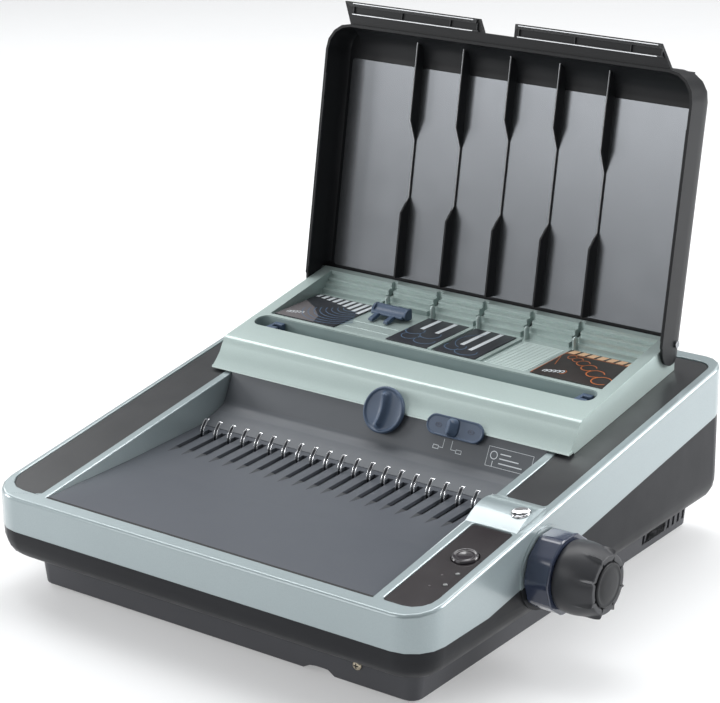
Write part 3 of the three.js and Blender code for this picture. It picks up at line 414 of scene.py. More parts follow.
def dressed(node, material, body=HOUSING, bevel=0.8, segments=2, top=None, weight=None):
    """The CAD node's own shape with softened edges and its material, cut off flat above top if that is given.

    weight(point) may say how much of the bevel an edge gets, from both of its ends in machine millimetres.
    """
    mesh = frame["nodes"][node].data.copy()
    mesh.materials.clear()
    bm = bmesh.new()
    bm.from_mesh(mesh)
    bmesh.ops.remove_doubles(bm, verts=bm.verts, dist=2e-6)
    if top is not None:
        everything = [*bm.verts, *bm.edges, *bm.faces]
        cut = bmesh.ops.bisect_plane(bm, geom=everything, plane_co=ORIGIN + Vector((0, 0, top)) * MM,
                                     plane_no=(0, 0, 1), clear_outer=True)
        rim = [e for e in cut["geom_cut"] if isinstance(e, bmesh.types.BMEdge)]
        bmesh.ops.holes_fill(bm, edges=rim, sides=0)
    bmesh.ops.dissolve_limit(bm, angle_limit=math.radians(0.6), verts=bm.verts, edges=bm.edges)
    if weight:
        layer = bm.edges.layers.float.new("bevel_weight_edge")
        for edge in bm.edges:
            if len(edge.link_faces) == 2 and edge.calc_face_angle(0.0) > SOFT_ANGLE:
                edge[layer] = min(weight(in_machine(vert.co)) for vert in edge.verts)
    obj = add_object(node + "_skin", mesh, bm, body, material, bevel, 50, segments, weight is not None)
    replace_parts(obj, node)
    return obj


def paint_node(node, material):
    """Gives a CAD node that stays visible a better material."""
    obj = frame["nodes"][node]
    if not obj.material_slots:
        obj.data.materials.append(material)
    for slot in obj.material_slots:
        slot.material = material


FRAME_X, FRAME_FRONT, FRAME_REAR, FRONT_R, REAR_R = 210.3, -220.6, 219.0, 28.0, 20.0


def frame_crease(point):
    """Bevel weight: 1 where the frame's sloping top meets its outer wall, less on the top's other edges."""
    if abs(point.z - top_z(point.y)) > TOP_SLACK:
        return 0.0
    r, end = (FRONT_R, -FRAME_FRONT) if point.y < 0 else (REAR_R, FRAME_REAR)
    past_x, past_y = abs(point.x) - (FRAME_X - r), abs(point.y) - (end - r)
    away = math.hypot(past_x, past_y) - r if past_x > 0 and past_y > 0 else max(past_x, past_y) - r
    return 1.0 if abs(away) < TOP_SLACK else 0.32


# housing shells
dressed("base_plinth", PLINTH, bevel=1.0)
dressed("lower_casing", CASING, bevel=1.2)
dressed("top_frame", SILVER, bevel=2.2, segments=3, weight=frame_crease)
dressed("trough_liner_left", TROUGH, bevel=0.5)
dressed("trough_liner_right", TROUGH, bevel=0.5)
dressed("control_panel", PANEL, bevel=0.5)
dressed("hook_guide", FASCIA, bevel=0.3)
dressed("fascia_panel", FASCIA, bevel=0.4)
dressed("comb_tray", SEA_SILVER, bevel=1.2, segments=3)
dressed("lid_shell", LID_BLACK, body="lid", bevel=0.7)
dressed("edge_guide_left", SLATE, body="edge_guide", bevel=0.6)
dressed("edge_guide_right", SLATE, bevel=0.6)
dressed("chip_drawer", CASING, body="chip_drawer", bevel=0.6)
dressed("mains_inlet", RUBBER, bevel=0.5)
dressed("power_switch", RUBBER, body="power_switch", bevel=0.6)

# pieces whose CAD shape is kept as it is
KEPT = (
    (TABLE, ("work_table",)),
    (RUBBER, ("foot_front_left", "foot_front_right", "foot_rear_left", "foot_rear_right")),
    (STEEL, ("hinge_pin_left", "hinge_pin_right", "comb_shaft", "comb_pinion_left", "comb_pinion_right",
             "shaft_bracket_left", "shaft_bracket_right", "chassis_plate", "die_plate_front", "die_plate_rear",
             "punch_bar", "cam_shaft", "side_plate_left", "side_plate_right", "motor", "motor_rotor")),
    (NYLON, ("drive_gear",)),
    (BOARD, ("circuit_board",)),
    (COPPER, ("transformer",)),
)
for material, nodes in KEPT:
    for node in nodes:
        paint_node(node, material)

# ---------------------------------------------------------------- lid
# painted reflection: a grey metal sheet laid in the black lid, standing in for the lamp's reflection in its
# inner face
piece("lid_inner_reflection_sheet", [prism_z(rounded(-173, 169.5, 5, 190, 3), 0.05, 0.6)], "lid", LID_REFLECTION,
      bevel=0.25, place=LID_PLACE)


# the two flaps' grips, in the lid's own x, height above the hinge, and distance from the inner panel
GRIP_LEFT, GRIP_RIGHT = (-160, -29), (9.5, 148)
GRIP_FOOT, GRIP_TOP, GRIP_BACK = 236.2, 239.4, 28.0


def grip(x0, x1, taper0, taper1):
    """The folded grip along one flap: a ridged strip, a recess under it and thin webs across the recess."""
    strip = prism_z([(x0, GRIP_FOOT), (x1, GRIP_FOOT), (x1 - taper1, GRIP_TOP), (x0 - taper0, GRIP_TOP)],
                    GRIP_BACK, GRIP_BACK + 1.8)
    lower = prism_z([(x0 + 4, 229.3), (x1 + 3, 229.3), (x1 + 2, 230.6), (x0 + 3, 230.6)],
                    GRIP_BACK, GRIP_BACK + 1.6)
    webs = [block(x - 0.5, x + 0.5, 230.2, 236.6, GRIP_BACK, GRIP_BACK + 1.5)
            for x in (x0 + 4, x0 + (x1 - x0) * 0.42, x0 + (x1 - x0) * 0.8, x1 + 1)]
    ridges = [block(x0 + 2, x1 - 2, s, s + 0.35, GRIP_BACK + 1.6, GRIP_BACK + 2.0)
              for s in (236.9, 237.6, 238.3)]
    return [strip, lower, *webs, *ridges]


def grip_highlights(x0, x1):
    """Painted highlights along a grip: light strips standing in for the shine on its edges."""
    return [block(x0 + 3, x1 - 3, s, s + 0.7, 28.4, front) for s, front in ((238.6, 30.0), (229.4, 29.9))]


# painted highlights along both flaps' grips
piece("flap_grip_highlights", grip_highlights(*GRIP_LEFT) + grip_highlights(*GRIP_RIGHT), "lid", LID_HIGHLIGHT,
      bevel=0, place=LID_PLACE)
piece("flap_grip_left", grip(*GRIP_LEFT, 4, -0.5), "lid", LID_TRIM, bevel=0.2, place=LID_PLACE)
piece("flap_grip_right", grip(*GRIP_RIGHT, 0, 1.5), "lid", LID_TRIM, bevel=0.2, place=LID_PLACE)
rim_beads = [block(x - 0.5, x + 0.5, 4, 176, 28.5, 30.2) for x in (-179.3, 179.3)]
piece("lid_rim_beads", rim_beads, "lid", LID_TRIM, bevel=0.2, place=LID_PLACE)

# how far the fins stand out: at their feet, along their upper parts, and where they are thinnest
FIN_FOOT, FIN_HIGH, FIN_THIN = 10.5, 11.6, 2.0
FIN_APEX = (127, 127, 140, 140, 127)     # height at which each fin has narrowed
# the painted highlight wire along each fin's edge: its radius and where it sits
FIN_HIGHLIGHT_R = 0.42
FIN_HIGHLIGHT_SIDE, FIN_HIGHLIGHT_SUNK = -0.4, 0.3     # from the middle of the fin's edge, and below it


def fin_edge_highlight(x, apex):
    """A painted highlight: a fine light wire along the exposed edge of one fin, standing in for its shine."""
    path = [(212, FIN_HIGH), (apex + 18, FIN_HIGH), (apex, FIN_THIN), (77, FIN_THIN), (66, FIN_FOOT)]
    return wire([(x + FIN_HIGHLIGHT_SIDE, s, n - FIN_HIGHLIGHT_SUNK) for s, n in path], FIN_HIGHLIGHT_R, 6)


# painted highlights along the fins' edges
piece("lid_fin_edge_highlights", [fin_edge_highlight(x, apex) for x, apex in zip(FIN_X, FIN_APEX)], "lid", LID_HIGHLIGHT,
      bevel=0, place=LID_PLACE)

# ---------------------------------------------------------------- hooks
dressed("hook_bar", STEEL, body="hook_bar", bevel=0.2, top=79.2)
HOOK_Y, HOOK_TOP, WIRE_R = -28.8, 97.0, 0.55
EDGE_HALF, WEB_HALF, WEB_THICK = 1.5, 1.3, 0.5
FINGER = [(-7.2, -19.0), (-7.2, -12.6), (-6.7, -9.6), (-5.4, -6.6), (-3.2, -3.8), (-0.9, -1.5), (0.9, -0.7)]
FINGER = [(HOOK_Y + y, HOOK_TOP + z) for y, z in FINGER]     # the front of a finger, from its foot to its tip


def hook_path(x):
    """The bright rolled edge of one finger: up one side, across its tip, and down the other."""
    return [(x - EDGE_HALF, y, z) for y, z in FINGER] + [(x + EDGE_HALF, y, z) for y, z in reversed(FINGER)]


def hook_web(x):
    """The flat of one finger between its rolled edges, in dark metal as painted shade."""
    x0, x1 = x - WEB_HALF, x + WEB_HALF
    dy, dz = WEB_THICK / 2, WEB_THICK / 3
    return grid([[(x0, y - dy, z + dz), (x1, y - dy, z + dz), (x1, y + dy, z - dz), (x0, y + dy, z - dz)]
                 for y, z in FINGER])


# the fingers are one metal: their rolled edges get bright chrome as painted highlight, and their flats a dark
# metal as painted shade
piece("comb_hooks", [wire(hook_path(x), WIRE_R, 8) for x in HOOKS], "hook_bar", CHROME, bevel=0)
piece("comb_hook_webs", [hook_web(x) for x in HOOKS], "hook_bar", HOOK_WEB_SHADE, bevel=0)

# ---------------------------------------------------------------- table and fascia
TABLE_CREASE, TABLE_REAR, CREASE_Z, REAR_Z = -113.8, -18.2, 83.0, 84.8
SLOT_FRONT, TABLE_HALF = -67.0, 158.1


def on_table(y):
    """Height of the table's rear part."""
    return CREASE_Z + (REAR_Z - CREASE_Z) * (y - TABLE_CREASE) / (TABLE_REAR - TABLE_CREASE)


def groove_shade(x, half=2.7):
    """Painted shade: a flat dark mark, running out to a point in front of a slot, standing in for the shade in
    a shallow groove there.
    """
    y0, y1, tip = SLOT_FRONT - 2, SLOT_FRONT + 0.3, SLOT_FRONT - 11
    outline = [(x - half, y1), (x - half * 0.9, y0), (x - half * 0.5, tip), (x + half, y0 + 3), (x + half, y1)]
    return prism(outline, (0.03, 0.1), lambda a, b, lift: (a, b, on_table(b) + lift))


piece("table_groove_shades", [groove_shade(x) for x in HOOKS], HOUSING, GROOVE_SHADE, bevel=0)
# painted shade: a black strip standing in for the shade where the table dips under the frame's front edge,
# wider the lower the table lies there
TABLE_FRONT = machine_box("work_table")[0].y
table_points = [in_machine(v.co) for v in frame["nodes"]["work_table"].data.vertices]
FRONT_Z = max(v.z for v in table_points if v.y < TABLE_FRONT + 1)
GAP_SHADE_WIDTH = 1.1 + 2.2 * max(0.0, top_z(TABLE_FRONT) - FRONT_Z)
front_gap_shade = block(-TABLE_HALF, TABLE_HALF, TABLE_FRONT - 0.2, TABLE_FRONT + GAP_SHADE_WIDTH,
                  FRONT_Z - 0.4, FRONT_Z + 0.12)
piece("table_front_gap_shade", [front_gap_shade], HOUSING, PAINTED_SHADE, bevel=0)
cove = [(7.5, 93.0), (10.4, 94.1), (12.0, 95.6), (13.2, 97.4), (11.2, 93.2), (10.6, 92.6), (2.0, 91.3)]
piece("fascia_cove", [prism_x(cove, -TABLE_HALF, TABLE_HALF)], HOUSING, FASCIA, bevel=0,
      sharp=80)

# ---------------------------------------------------------------- comb tray
LABEL_TOP_Z = machine_box("size_label_left")[1].z
TRAY_FLOOR_Z = 150.0


def floor_rib(y, x0, x1, foot, crown, rise):
    """A low rib along X whose sides taper from the half width foot to the half width crown."""
    low, high = TRAY_FLOOR_Z, TRAY_FLOOR_Z + rise
    return prism_x([(y - foot, low), (y + foot, low), (y + crown, high), (y - crown, high)], x0, x1)


tray_ribs = [floor_rib(95 + 3.1 * i, 52, 92.5, 0.7, 0.35, 0.75) for i in range(20)]
tray_ribs += [floor_rib(y, -98, -51, 0.5, 0.3, 0.55) for y in (104.0, 118.0)]
piece("tray_floor_ribs", tray_ribs, HOUSING, SEA_SILVER, bevel=0.15)


def post(x):
    """A round-topped guide post beside a notch in the tray's stepped rear wall."""
    profile = [(0, 2.0), (8.6, 2.0), (9.8, 1.75), (10.7, 1.2), (11.1, 0.5)]
    place = Matrix.Translation((x + 3.9, 162.4, TRAY_FLOOR_Z + 0.2)) @ Matrix.Diagonal((1, 1.5, 1, 1))
    return moved(turned(profile, 20), place)


piece("tray_posts", [post(x) for x in FIN_X], HOUSING, SEA_SILVER, bevel=0)
# the steps along the rear wall, which stop at each fin's notch
NOTCH_HALF, TRAY_INNER_HALF = 2.7, 166.5
run_starts = [-TRAY_INNER_HALF, *[x + NOTCH_HALF for x in FIN_X]]
run_ends = [*[x - NOTCH_HALF for x in FIN_X], TRAY_INNER_HALF]
rear_lines = [prism_x([(y - 0.45, z - 0.4), (y + 0.4, z - 0.4), (y + 0.4, z + 0.35), (y - 0.45, z + 0.35)],
                      x0, x1)
              for y, z in ((177.6, 164.9), (172.8, 161.0)) for x0, x1 in zip(run_starts, run_ends)]
piece("tray_rear_lines", rear_lines, HOUSING, SEA_SILVER, bevel=0.2)

CHANNEL_X0, CHANNEL_X1, CHANNEL_Y0, CHANNEL_Y1 = -171.8, 168.8, 68.2, 85.8
CHANNEL_FLOOR, CHANNEL_WALL, CHANNEL_R = 133.4, 0.25, 7.8
TRAY_RIDGE_Y, TRAY_RIDGE_Z, TRAY_RISE = 42.7, 143.6, 0.177    # the tray's front ridge and the slope behind it
RIM_BELOW_TOP = 1.1


def channel_liner():
    """The moulded walls and floor inside the long slot in front of the compartments."""
    def outline(inset):
        return rounded(CHANNEL_X0 + inset, CHANNEL_X1 - inset, CHANNEL_Y0 + inset, CHANNEL_Y1 - inset,
                       CHANNEL_R - inset)

    def rim(y):
        return TRAY_RIDGE_Z + TRAY_RISE * (y - TRAY_RIDGE_Y) - RIM_BELOW_TOP

    outer, inner = outline(0), outline(CHANNEL_WALL)
    return grid([[(x, y, CHANNEL_FLOOR) for x, y in outer], [(x, y, rim(y)) for x, y in outer],
                 [(x, y, rim(y)) for x, y in inner], [(x, y, CHANNEL_FLOOR + 0.9) for x, y in inner]])


piece("tray_channel_liner", [channel_liner()], HOUSING, CHANNEL_SILVER, bevel=0)

# the comb gauge's outlines as (y, z) pairs
# the saddle and the wings count from its rear foot, a prong from its front foot
SADDLE = [(-4.6, 0.0), (-0.5, 0.0), (-0.2, 7.0), (-0.9, 9.6), (-2.9, 10.4), (-5.2, 9.9), (-6.4, 8.2),
          (-8.8, 6.3), (-13.0, 5.4), (-14.0, 4.2), (-12.6, 3.0), (-8.4, 2.8), (-5.4, 1.8)]
PRONG = [(0.0, 1.2), (1.6, 0.5), (8.0, 1.0), (13.0, 3.2), (13.6, 5.2), (8.6, 5.0), (3.4, 3.9), (0.6, 3.2)]


def gauge():
    """The sliding comb gauge: a saddle-shaped carriage with end wings and two prongs that reach forwards."""
    (x0, y0, z0), (x1, y1, z1) = machine_box("thickness_gauge")
    tall = z1 - z0
    wing = [(-5.4, 0.4), (0.0, 0.4), (0.0, 8.6), (-1.0, tall), (-6.4, tall), (-9.6, 7.8), (-11.6, 4.6),
            (-8.6, 1.8)]
    solids = [prism_x([(y1 + y, z0 + z) for y, z in SADDLE], x0 + 1.8, x1 - 1.8)]
    solids += [prism_x([(y1 + y, z0 + z) for y, z in wing], x, x + 2.4) for x in (x0, x1 - 2.4)]
    solids += [prism_x([(y0 + y, z0 + z) for y, z in PRONG], x - 2.2, x + 2.2) for x in (x0 + 9, x1 - 11)]
    solids.append(prism_z(rounded(x1 - 13.4, x1 - 8.6, y1 - 5.0, y1 - 1.2, 1.6), z1 - 1.4, z1 - 0.1))
    return solids


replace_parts(piece("thickness_gauge_body", gauge(), "thickness_gauge", SLATE, bevel=0.5),
            "thickness_gauge")

# ---------------------------------------------------------------- printed size plates
for node in ("size_label_left", "size_label_mid_left", "size_label_mid_right"):
    dressed(node, LABEL_DARK, bevel=0.15)
dressed("size_label_right", LABEL_WARM, bevel=0.15)
ON_LABELS = Matrix.Translation((0, 0, LABEL_TOP_Z))
BAR_END = 156.6


def strip(x0, x1, y0, y1, lean=0.0):
    """A printed bar whose far end is shifted along X by lean."""
    return prism_z([(x0, y0), (x1, y0), (x1 + lean, y1), (x0 + lean, y1)], 0, 0.1)


def arcs(name, rings, ink):
    """Printed arcs, each given as centre x, y, radii, width, and start and end in degrees."""
    piece(name, [flat_ring(*ring) for ring in rings], HOUSING, ink, bevel=0, place=ON_LABELS)


left_bars = [strip(x - 1.9, x + 1.9, low, BAR_END, lean=1.2) for x, low in
             zip([-162.6 + 7.2 * i for i in range(9)],
                 (150.5, 149.0, 147.5, 146.0, 144.0, 141.5, 138.5, 135.5, 132.0))]
mid_bars = [strip(x - 2.0, x + 2.0, low, BAR_END, lean=0.8) for x, low in
            ((-35.4, 130.6), (-18.6, 128.2), (15.0, 116.7), (28.2, 109.0))]
comb_marks = [flat_ring(-158.5 + 2.9 * i, 104.5 + 0.9 * i, 1.3, 2.6, 0.8, -60, 230, steps=16)
              for i in range(5)]
comb_marks += [flat_ring(105.5 + 3.3 * i, 102.8 + 1.3 * i, 1.4, 2.8, 0.9, -60, 230, steps=16)
               for i in range(5)]
piece("print_white", left_bars + mid_bars + comb_marks, HOUSING, INK_WHITE, bevel=0, place=ON_LABELS)
grey_field = prism_z([(-165, 94), (-124, 94), (-129, 108), (-147, 126), (-164.8, 138)], 0, 0.05)
piece("print_grey", [grey_field], HOUSING, LABEL_GREY, bevel=0, place=ON_LABELS)
cool_rings = [(-116 - 0.8 * i, 140 - 2.0 * i, 8 + 3.4 * i, 7 + 3.2 * i, 0.6, 190, 330) for i in range(8)]
cool_rings += [(-37.5, 124, 8.5, 8.0, 0.8, 170, 400), (-34.0, 112, 8.0, 8.0, 0.7, 150, 380),
               (-20.5, 122, 9.0, 9.0, 0.8, 170, 400), (-17.0, 108, 9.5, 8.5, 0.7, 150, 380),
               (13.0, 110, 9.5, 8.5, 0.8, 160, 395), (27.5, 104, 10.0, 8.0, 0.8, 160, 390),
               (22.0, 128, 17.0, 19.0, 0.6, 100, 250)]
arcs("print_blue", cool_rings, INK_COOL)
orange = [(107.5, 142.0, 3.6, 4.2, 0.7, 20, 320), (114.5, 139.0, 4.4, 4.8, 0.7, 20, 320),
          (122.5, 134.5, 5.4, 5.8, 0.8, 20, 320), (132.0, 127.5, 6.4, 6.6, 0.8, 20, 320),
          (143.5, 118.5, 7.4, 7.6, 0.9, 20, 320), (156.0, 107.0, 8.2, 8.6, 0.9, 20, 320),
          (119.6, 107.6, 2.4, 4.4, 0.6, -100, 100)]
arcs("print_orange", orange, INK_ORANGE)
border = [strip(97.2, 165.0, 147.6, 148.2), strip(97.2, 97.7, 94, 151), strip(104, 104.5, 120, 139, lean=-6)]
piece("print_orange_lines", border, HOUSING, INK_ORANGE, bevel=0, place=ON_LABELS)
peach_bars = [strip(98.5 + 9.1 * i, 104.9 + 9.1 * i, 149.2, 157.0, lean=1.8) for i in range(7)]
piece("print_peach", peach_bars, HOUSING, INK_PEACH, bevel=0, place=ON_LABELS)

# ---------------------------------------------------------------- knob, ring and cap
ALONG_X = Matrix(((0, 0, 1, 0), (1, 0, 0, SHAFT.y), (0, 1, 0, SHAFT.z), (0, 0, 0, 1)))
KNOB_X0, KNOB_X1 = (corner.x for corner in machine_box("comb_knob"))
RING_X0, RING_X1 = (corner.x for corner in machine_box("stop_ring"))
RIDGES = 8
RIDGE_HEIGHT = 3.0
PANEL_DEPTH = 0.5
KNOB_FACE_R = 18.2       # the knob is ridged outside this radius


def ease(value, low, high):
    """0 up to low, 1 from high, and a smooth rise between them."""
    t = max(0.0, min(1.0, (value - low) / (high - low)))
    return t * t * (3 - 2 * t)


def ridged(h, r, turn):
    """Hollow panels between thin ridges, which start at the knob's belly and are strongest at its end."""
    if r < KNOB_FACE_R:
        return r
    t = (turn / (2 * math.pi) * RIDGES + 0.5) % 1.0
    away = 2 * min(t, 1 - t)
    share = ease(h, KNOB_X0 + 17, KNOB_X1 - 1)
    return r + share * (RIDGE_HEIGHT * max(0.0, 1 - away * 5.0) ** 1.3 - PANEL_DEPTH)


def profile_from(x, pairs):
    """(height, radius) pairs whose heights count from x."""
    return [(x + h, r) for h, r in pairs]


knob_profile = profile_from(KNOB_X0, [
    (0, 5), (0, 26.2), (0.8, 27.0), (3, 27.7), (6, 28.1), (9, 28.2), (12, 28.1), (15, 27.8), (18, 27.3),
    (21, 26.7), (24, 26.0), (27, 25.2), (29.5, 24.4), (31.4, 23.8)])
knob_profile += profile_from(KNOB_X1, [
    (-0.4, 23.3), (0, 22.6), (0, 19.4), (-0.5, 18.6), (-2.2, 18.1), (-2.2, 5)])
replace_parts(piece("knob_body", [turned(knob_profile, 192, ridged)], "comb_drive", KNOB_BLACK,
                  bevel=0, place=ALONG_X, sharp=42), "comb_knob")
cap_profile = profile_from(KNOB_X1, [
    (-2.0, 0.5), (-2.0, 17.2), (0.3, 17.4), (1.0, 16.9), (1.3, 15.8), (1.0, 15.2), (0.9, 13.4), (1.5, 12.2),
    (2.2, 8), (2.4, 0.5)])
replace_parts(piece("knob_end_cap", [turned(cap_profile, 96)], "comb_drive", KNOB_END, bevel=0,
                  place=ALONG_X, sharp=60), "knob_cap")


RING_FACET = 2 * math.pi / 10
RING_CORNER = 0.9        # how far a facet's corners may stand out
RING_FACE_R = 20         # the ring is faceted outside this radius


def faceted(h, r, turn):
    """Flat facets round the ring, cut off round at their corners."""
    off = turn % RING_FACET - RING_FACET / 2
    return min(r + RING_CORNER, r / math.cos(off)) if r > RING_FACE_R else r


ring_profile = profile_from(RING_X0, [(0, 7), (0, 28.4), (0.5, 29.2), (1.2, 29.6)])
ring_profile += profile_from(RING_X1, [(-1.4, 29.9), (-0.9, 30.3), (-0.4, 30.2), (0, 29.4), (0, 7)])
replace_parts(piece("stop_ring_body", [turned(ring_profile, 200, faceted)], "stop_ring", NAVY,
                  bevel=0, place=ALONG_X, sharp=16), "stop_ring")

# ---------------------------------------------------------------- dial and slider
DIAL_R, DIAL_SIDES = 19.4, 96
DISH_RINGS, DISH_TOP, DISH_DEPTH = 22, 5.9, 1.3
CREST_WIDTH, CREST_REACH, CREST_HEIGHT = 2.3, 16.4, 6.2


def crest(x, y):
    """Height of the sharp finger ridge along local Y, slightly bowed, which fades out towards its ends."""
    bow = 1.1 - 2.6 * (y / CREST_REACH) ** 2
    side = abs(x - bow) / CREST_WIDTH
    fade = 1 - ease(abs(y), CREST_REACH * 0.72, CREST_REACH)
    return CREST_HEIGHT * (1 / (1 + side ** 2)) ** 1.15 * fade


def dial():
    """A round dial: its rim from the foot inwards, then a shallow dish with the finger ridge across it."""
    outline = [(4, -4), (4, 3), (DIAL_R - 1, 3), (DIAL_R, 3.9), (DIAL_R, 6.1), (DIAL_R - 0.5, 7.0),
               (DIAL_R - 1.3, 7.35), (DIAL_R - 2.1, 7.0), (DIAL_R - 2.6, 6.2)]
    rows = [[(*circle(r, i, DIAL_SIDES), z) for i in range(DIAL_SIDES)] for r, z in outline]
    for k in range(DISH_RINGS):
        r = (DIAL_R - 3.0) * (1 - k / DISH_RINGS)
        dish = DISH_TOP - DISH_DEPTH * (1 - (r / 16.5) ** 2)
        ring = [circle(r, i, DIAL_SIDES) for i in range(DIAL_SIDES)]
        rows.append([(x, y, dish + crest(x, y)) for x, y in ring])
    return grid(rows)


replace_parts(piece("depth_dial_body", [dial()], "depth_dial", SLATE, bevel=0, place=DIAL_PLACE,
                  sharp=60), "depth_dial")
FASCIA_UP = DIAL_PLACE.to_3x3() @ Vector((0, 1, 0))
FASCIA_FOOT = DIAL_PLACE.translation - FASCIA_UP * 29.7


def on_fascia(x, along):
    """A place on the sloping fascia, at x and at the distance along from its foot."""
    place = DIAL_PLACE.copy()
    place.translation = Vector((x, FASCIA_FOOT.y + FASCIA_UP.y * along, FASCIA_FOOT.z + FASCIA_UP.z * along))
    return place


SLIDER_X = sum(corner.x for corner in machine_box("margin_plate")) / 2
SLIDER_PLACE = on_fascia(SLIDER_X, 29.2)
PLATE_HALF_X, PLATE_HALF_Y = 27, 8.5


def plate_row(z, inset):
    """The slider plate's round-ended outline at height z, drawn in by inset."""
    outline = rounded(-PLATE_HALF_X, PLATE_HALF_X, -PLATE_HALF_Y, PLATE_HALF_Y, PLATE_HALF_Y - 0.02)
    along, across = 1 - inset / PLATE_HALF_X, 1 - inset / PLATE_HALF_Y
    return [(x * along, y * across, z) for x, y in outline]


plate = grid([plate_row(z, inset) for z, inset in (
    (2.8, 0.3), (3.2, 0), (4.9, 0), (5.35, 0.3), (5.4, 0.9), (5.1, 1.5), (4.7, 1.9))])
slider_marks = [flat_ring(x, 0, 2.8, 1.7, 0.6, height=0.35) for x in (-15.5, 15.5)]
slider_marks += [prism_z([(x - 0.9, -0.9), (x + 1.3, 0), (x - 0.9, 0.9)], 0, 0.35) for x in (-15.5, 15.5)]
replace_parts(piece("margin_plate_body", [plate, block(-22, 22, -8, -2, 0.3, 3.2)], HOUSING, SLATE,
                  bevel=0, place=SLIDER_PLACE, sharp=60), "margin_plate")
piece("margin_plate_marks", slider_marks, HOUSING, SLATE_DARK, bevel=0,
      place=SLIDER_PLACE @ Matrix.Translation((0, 0, 4.65)))


OVAL_HALF_X, OVAL_HALF_Y, EDGE_BOW = 5.6, 7.3, 0.65
# the slider's finger grip from its foot to its edge: height, half width, length, and shift along X
OVAL_ROWS = ((5.75, 5.6, 14.6, 0), (6.6, 5.0, 14.2, 0), (7.6, 3.6, 13.6, 0.1), (8.8, 2.5, 13.0, 0.3),
             (10.0, 1.7, 12.2, 0.5), (10.9, 1.2, 11.4, 0.6), (11.5, 0.7, 10.4, 0.7), (11.65, 0.3, 9.6, 0.7))


def slider_grip():
    """The slider's finger grip: an oval foot that narrows to a thin bowed edge."""
    foot = rounded(-OVAL_HALF_X, OVAL_HALF_X, -OVAL_HALF_Y, OVAL_HALF_Y, 4.0)
    rows = []
    for z, half, tall, shift in OVAL_ROWS:
        bow = EDGE_BOW if shift else 0
        rows.append([(x * half / OVAL_HALF_X - 2 + shift - bow * (y / OVAL_HALF_Y) ** 2,
                      y * tall / (2 * OVAL_HALF_Y), z) for x, y in foot])
    return grid(rows)


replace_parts(piece("margin_slider_grip", [slider_grip()], "margin_slider", SLATE, bevel=0,
                  place=SLIDER_PLACE, sharp=60), "margin_slider")

# ---------------------------------------------------------------- generic marks on the fascia
LIFT = Matrix.Translation((0, 0, 0.02))
FLAT = 0.08


def line(x0, y0, x1, y1, width=0.45):
    """A printed line with square ends, half a width longer at each end."""
    along = Vector((x1 - x0, y1 - y0)).normalized() * width / 2
    side = Vector((-along.y, along.x))
    a, b = Vector((x0, y0)) - along, Vector((x1, y1)) + along
    return prism_z([tuple(a - side), tuple(b - side), tuple(b + side), tuple(a + side)], 0, FLAT)


def box_outline(x0, x1, y0, y1, width):
    """The four printed lines round a rectangle."""
    return [line(x0, y0, x1, y0, width), line(x1, y0, x1, y1, width), line(x1, y1, x0, y1, width),
            line(x0, y1, x0, y0, width)]


# an outlined box with a ring, a stroke and three bars, and two small sheets, each with a bent leader line
marks = box_outline(106.5, 148.0, 7.2, 22.8, 0.35)
marks += [flat_ring(112.4, 16.4, 3.1, 3.1, 0.7, steps=28, height=FLAT), line(112.4, 7.6, 112.4, 11.4, 0.6)]
marks += [line(118.5, y, 118.5 + length, y, 0.9) for y, length in ((18.4, 9), (14.6, 17), (10.8, 21))]
for x0, leader_from, leader_to in ((55.5, 60.8, 64.6), (77.5, 77.2, 72.4)):
    marks += box_outline(x0, x0 + 5, 10.2, 13.0, 0.5)
    marks += [line(leader_from, 12.0, leader_to, 12.0), line(leader_to, 12.0, leader_to, 19.0)]
piece("fascia_marks", marks, HOUSING, INK_WHITE, bevel=0, place=on_fascia(0, 0) @ LIFT)

# ---------------------------------------------------------------- button, lamps, window, screw
NORMAL = DECK_NORMAL.normalized()


def over_node(node, lift):
    """A place above the middle of a node on the sloping top, raised by lift, square to the slope."""
    low, high = machine_box(node)
    return tilted((low + high) / 2 + NORMAL * lift, NORMAL)


button_profile = [(-7.8, 5.5), (-3.6, 5.5), (-3.6, 9.6), (-3.2, 10.1), (0.4, 10.15), (1.2, 9.95), (1.85, 9.3),
                  (1.95, 8.7), (1.6, 8.1), (1.25, 7.6), (1.15, 6.9), (1.45, 6.3), (1.35, 5.4), (0.95, 3.6),
                  (0.75, 0.3)]
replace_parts(piece("punch_button_body", [turned(button_profile, 72)], "punch_button", BUTTON_BLACK,
                  bevel=0, place=over_node("punch_button", 3.0), sharp=60), "punch_button")
lens_profile = [(-4.8, 1.85), (0.05, 1.85), (0.4, 1.65), (0.7, 1.1), (0.8, 0.2)]
for node in ("led_ready", "led_check"):
    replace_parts(piece(node + "_lens", [turned(lens_profile, 32)], HOUSING, LED_CLEAR, bevel=0,
                      place=over_node(node, 2.1), sharp=60), node)
panel_dots = [moved(turned([(0, 0.9), (0.18, 0.75), (0.22, 0.1)], 20), on_deck(x, y, -RECESS))
              for x, y in ((185.5, -160.0), (185.5, -176.0))]
piece("panel_dots", panel_dots, HOUSING, INK_DIM, bevel=0)

window_low, window_high = machine_box("bridge_window")
WINDOW_R = (window_high.x - window_low.x) / 2
bowl = [(h, WINDOW_R - inset) for h, inset in (
    (-1.3, 0.1), (0.6, 0.1), (1.0, 0.5), (0.8, 0.9), (0.3, 1.6), (-0.3, 2.8), (-0.8, 4.4), (-1.0, 6.0))]
bowl.append((-1.1, 0.3))
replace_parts(piece("bridge_window_glass", [turned(bowl, 64)], HOUSING, CHROME, bevel=0,
                  place=over_node("bridge_window", -0.15), sharp=60), "bridge_window")

